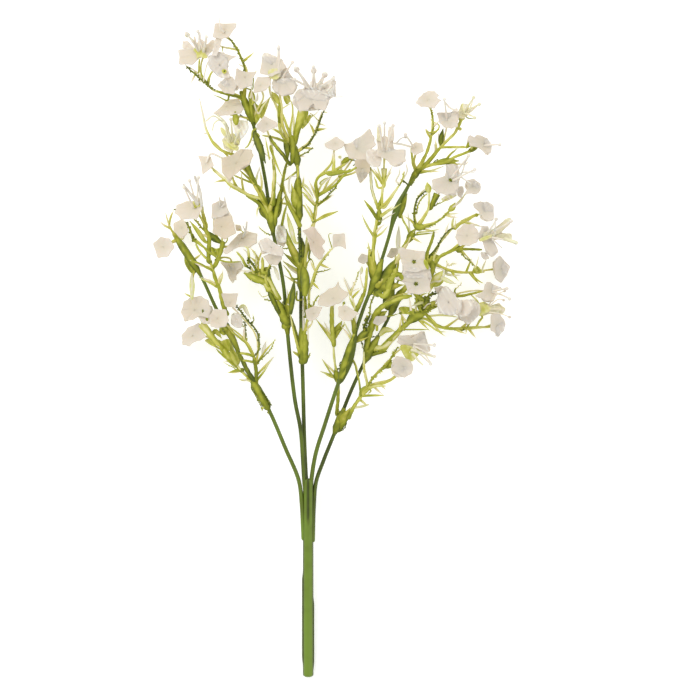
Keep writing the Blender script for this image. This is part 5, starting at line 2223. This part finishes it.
STEM = {
    "stops": [(0.0, (42, 50, 8)), (0.3, (68, 80, 22)), (0.6, (94, 110, 34)), (1.0, (112, 138, 46))],
    "mottling": 0.4, "roughness": 0.36, "soft": 0.0, "soft_radius": (1.0, 1.0, 1.0),
    "bump": 0.2, "grain": 600.0, "shine": 0.3,
}


def linear(colour):
    """A screen colour, 0 to 255, as the linear colour that Blender wants."""
    shares = [((c / 255 + 0.055) / 1.055) ** 2.4 if c > 10 else c / 255 / 12.92 for c in colour]
    return (*shares, 1)


class Graph:
    """A material's nodes, made and linked by short calls."""

    def __init__(self, name):
        self.material = bpy.data.materials.new(name)
        self.material.use_nodes = True
        self.material.node_tree.nodes.clear()

    def node(self, kind, links=(), **values):
        """A node. links is pairs of an input and the socket that feeds it; values are properties."""
        made = self.material.node_tree.nodes.new("ShaderNode" + kind)
        for label, value in values.items():
            setattr(made, label, value)
        for label, source in links:
            self.material.node_tree.links.new(source, made.inputs[label])
        return made

    def ramp(self, stops, interpolation, source):
        made = self.node("ValToRGB", [("Fac", source)])
        made.color_ramp.interpolation = interpolation
        while len(made.color_ramp.elements) < len(stops):
            made.color_ramp.elements.new(0.5)
        for element, (position, colour) in zip(made.color_ramp.elements, stops):
            element.position = position
            element.color = colour
        return made.outputs["Color"]

    def noise(self, scale, detail, place):
        made = self.node("TexNoise", [("Vector", place)])
        made.inputs["Scale"].default_value = scale
        made.inputs["Detail"].default_value = detail
        return made.outputs["Fac"]


def plastic(name, looks):
    """Moulded plastic: a colour along the tone, mottled by noise, with a fine grain."""
    graph = Graph(name)
    tone = graph.node("Attribute", attribute_name="tone").outputs["Fac"]
    tint = graph.node("Attribute", attribute_name="tint").outputs["Fac"]
    place = graph.node("TexCoord").outputs["Object"]
    mottle = graph.noise(MOTTLE_SCALE, MOTTLE_DETAIL, place)
    grain = graph.noise(looks["grain"], GRAIN_DETAIL, place)
    centred = graph.node("Math", [(0, mottle)], operation="SUBTRACT")
    centred.inputs[1].default_value = 0.5
    mottled = graph.node("Math", [(0, centred.outputs[0]), (2, tone)], operation="MULTIPLY_ADD")
    mottled.inputs[1].default_value = looks["mottling"]
    colour = graph.ramp([(at, linear(c)) for at, c in looks["stops"]], "EASE", mottled.outputs[0])
    turn = graph.ramp([(at, (*c, 1)) for at, c in TINTS], "CONSTANT", tint)
    blend = graph.node("Mix", data_type="RGBA", blend_type="MULTIPLY")
    blend.inputs["Factor"].default_value = 1.0
    graph.material.node_tree.links.new(colour, blend.inputs[6])
    graph.material.node_tree.links.new(turn, blend.inputs[7])
    relief = graph.node("Bump", [("Height", grain)])
    relief.inputs["Strength"].default_value = looks["bump"]
    relief.inputs["Distance"].default_value = GRAIN_DEPTH
    wear = graph.node("MapRange", [("Value", mottle)])
    wear.inputs["To Min"].default_value = looks["roughness"] + WEAR[0]
    wear.inputs["To Max"].default_value = looks["roughness"] + WEAR[1]
    shader = graph.node("BsdfPrincipled", [
        ("Base Color", blend.outputs[2]),
        ("Normal", relief.outputs["Normal"]),
        ("Roughness", wear.outputs["Result"]),
    ])
    shader.inputs["Subsurface Weight"].default_value = looks["soft"]
    shader.inputs["Subsurface Radius"].default_value = looks["soft_radius"]
    shader.inputs["Subsurface Scale"].default_value = SOFT_REACH
    shader.inputs["Specular IOR Level"].default_value = looks["shine"]
    graph.node("OutputMaterial", [("Surface", shader.outputs["BSDF"])])
    return graph.material


petal_plastic = plastic("petal_plastic", PETAL)
sprig_plastic = plastic("sprig_plastic", SPRIG)
stem_plastic = plastic("stem_plastic", STEM)

# ---------------------------------------------------------------- the spray
stem_piece(stem_plastic)
for index, sprig_name in enumerate(SPRIGS):
    sprig_piece(sprig_name, index, sprig_plastic)
for head_keys in HEADS:
    head_piece(head_keys, petal_plastic)

# ---------------------------------------------------------------- the surface and the light
FLOOR_HALF = 30.0
FLOOR_DROP = 0.0002  # how far below the spray it lies
FLOOR_WHITE = (0.9, 0.9, 0.9, 1)
FLOOR_GLOW = 0.37
WORLD_GLOW = 0.8
WHITE = (1.0, 1.0, 1.0, 1)


def floor():
    mesh = bpy.data.meshes.new("surface")
    corners = [(x * FLOOR_HALF, y * FLOOR_HALF, 0) for x, y in ((-1, -1), (1, -1), (1, 1), (-1, 1))]
    mesh.from_pydata(corners, [], [(0, 1, 2, 3)])
    surface = bpy.data.objects.new("surface", mesh)
    surface.location.z = -FLOOR_DROP
    bpy.context.scene.collection.objects.link(surface)
    material = bpy.data.materials.new("surface_white")
    material.use_nodes = True
    shader = material.node_tree.nodes["Principled BSDF"]
    shader.inputs["Base Color"].default_value = FLOOR_WHITE
    shader.inputs["Roughness"].default_value = 0.9
    shader.inputs["Specular IOR Level"].default_value = 0.1
    shader.inputs["Emission Color"].default_value = WHITE
    shader.inputs["Emission Strength"].default_value = FLOOR_GLOW
    mesh.materials.append(material)


def lamp(name, place, size, power):
    """A square lamp that looks at the middle of the spray."""
    data = bpy.data.lights.new(name, "AREA")
    data.size = size
    data.energy = power
    light = bpy.data.objects.new(name, data)
    light.location = place
    light.rotation_euler = (-Vector(place)).to_track_quat("-Z", "Y").to_euler()
    light.visible_camera = False
    bpy.context.scene.collection.objects.link(light)


floor()
lamp("key", (-1.6, 1.6, 2.6), 1.6, 44.0)
lamp("fill", (2.2, -0.6, 2.4), 2.4, 12.0)

world = bpy.data.worlds.new("studio")
world.use_nodes = True
background = world.node_tree.nodes["Background"]
background.inputs["Color"].default_value = WHITE
background.inputs["Strength"].default_value = WORLD_GLOW
bpy.context.scene.world = world
bpy.context.scene.view_settings.view_transform = "Standard"
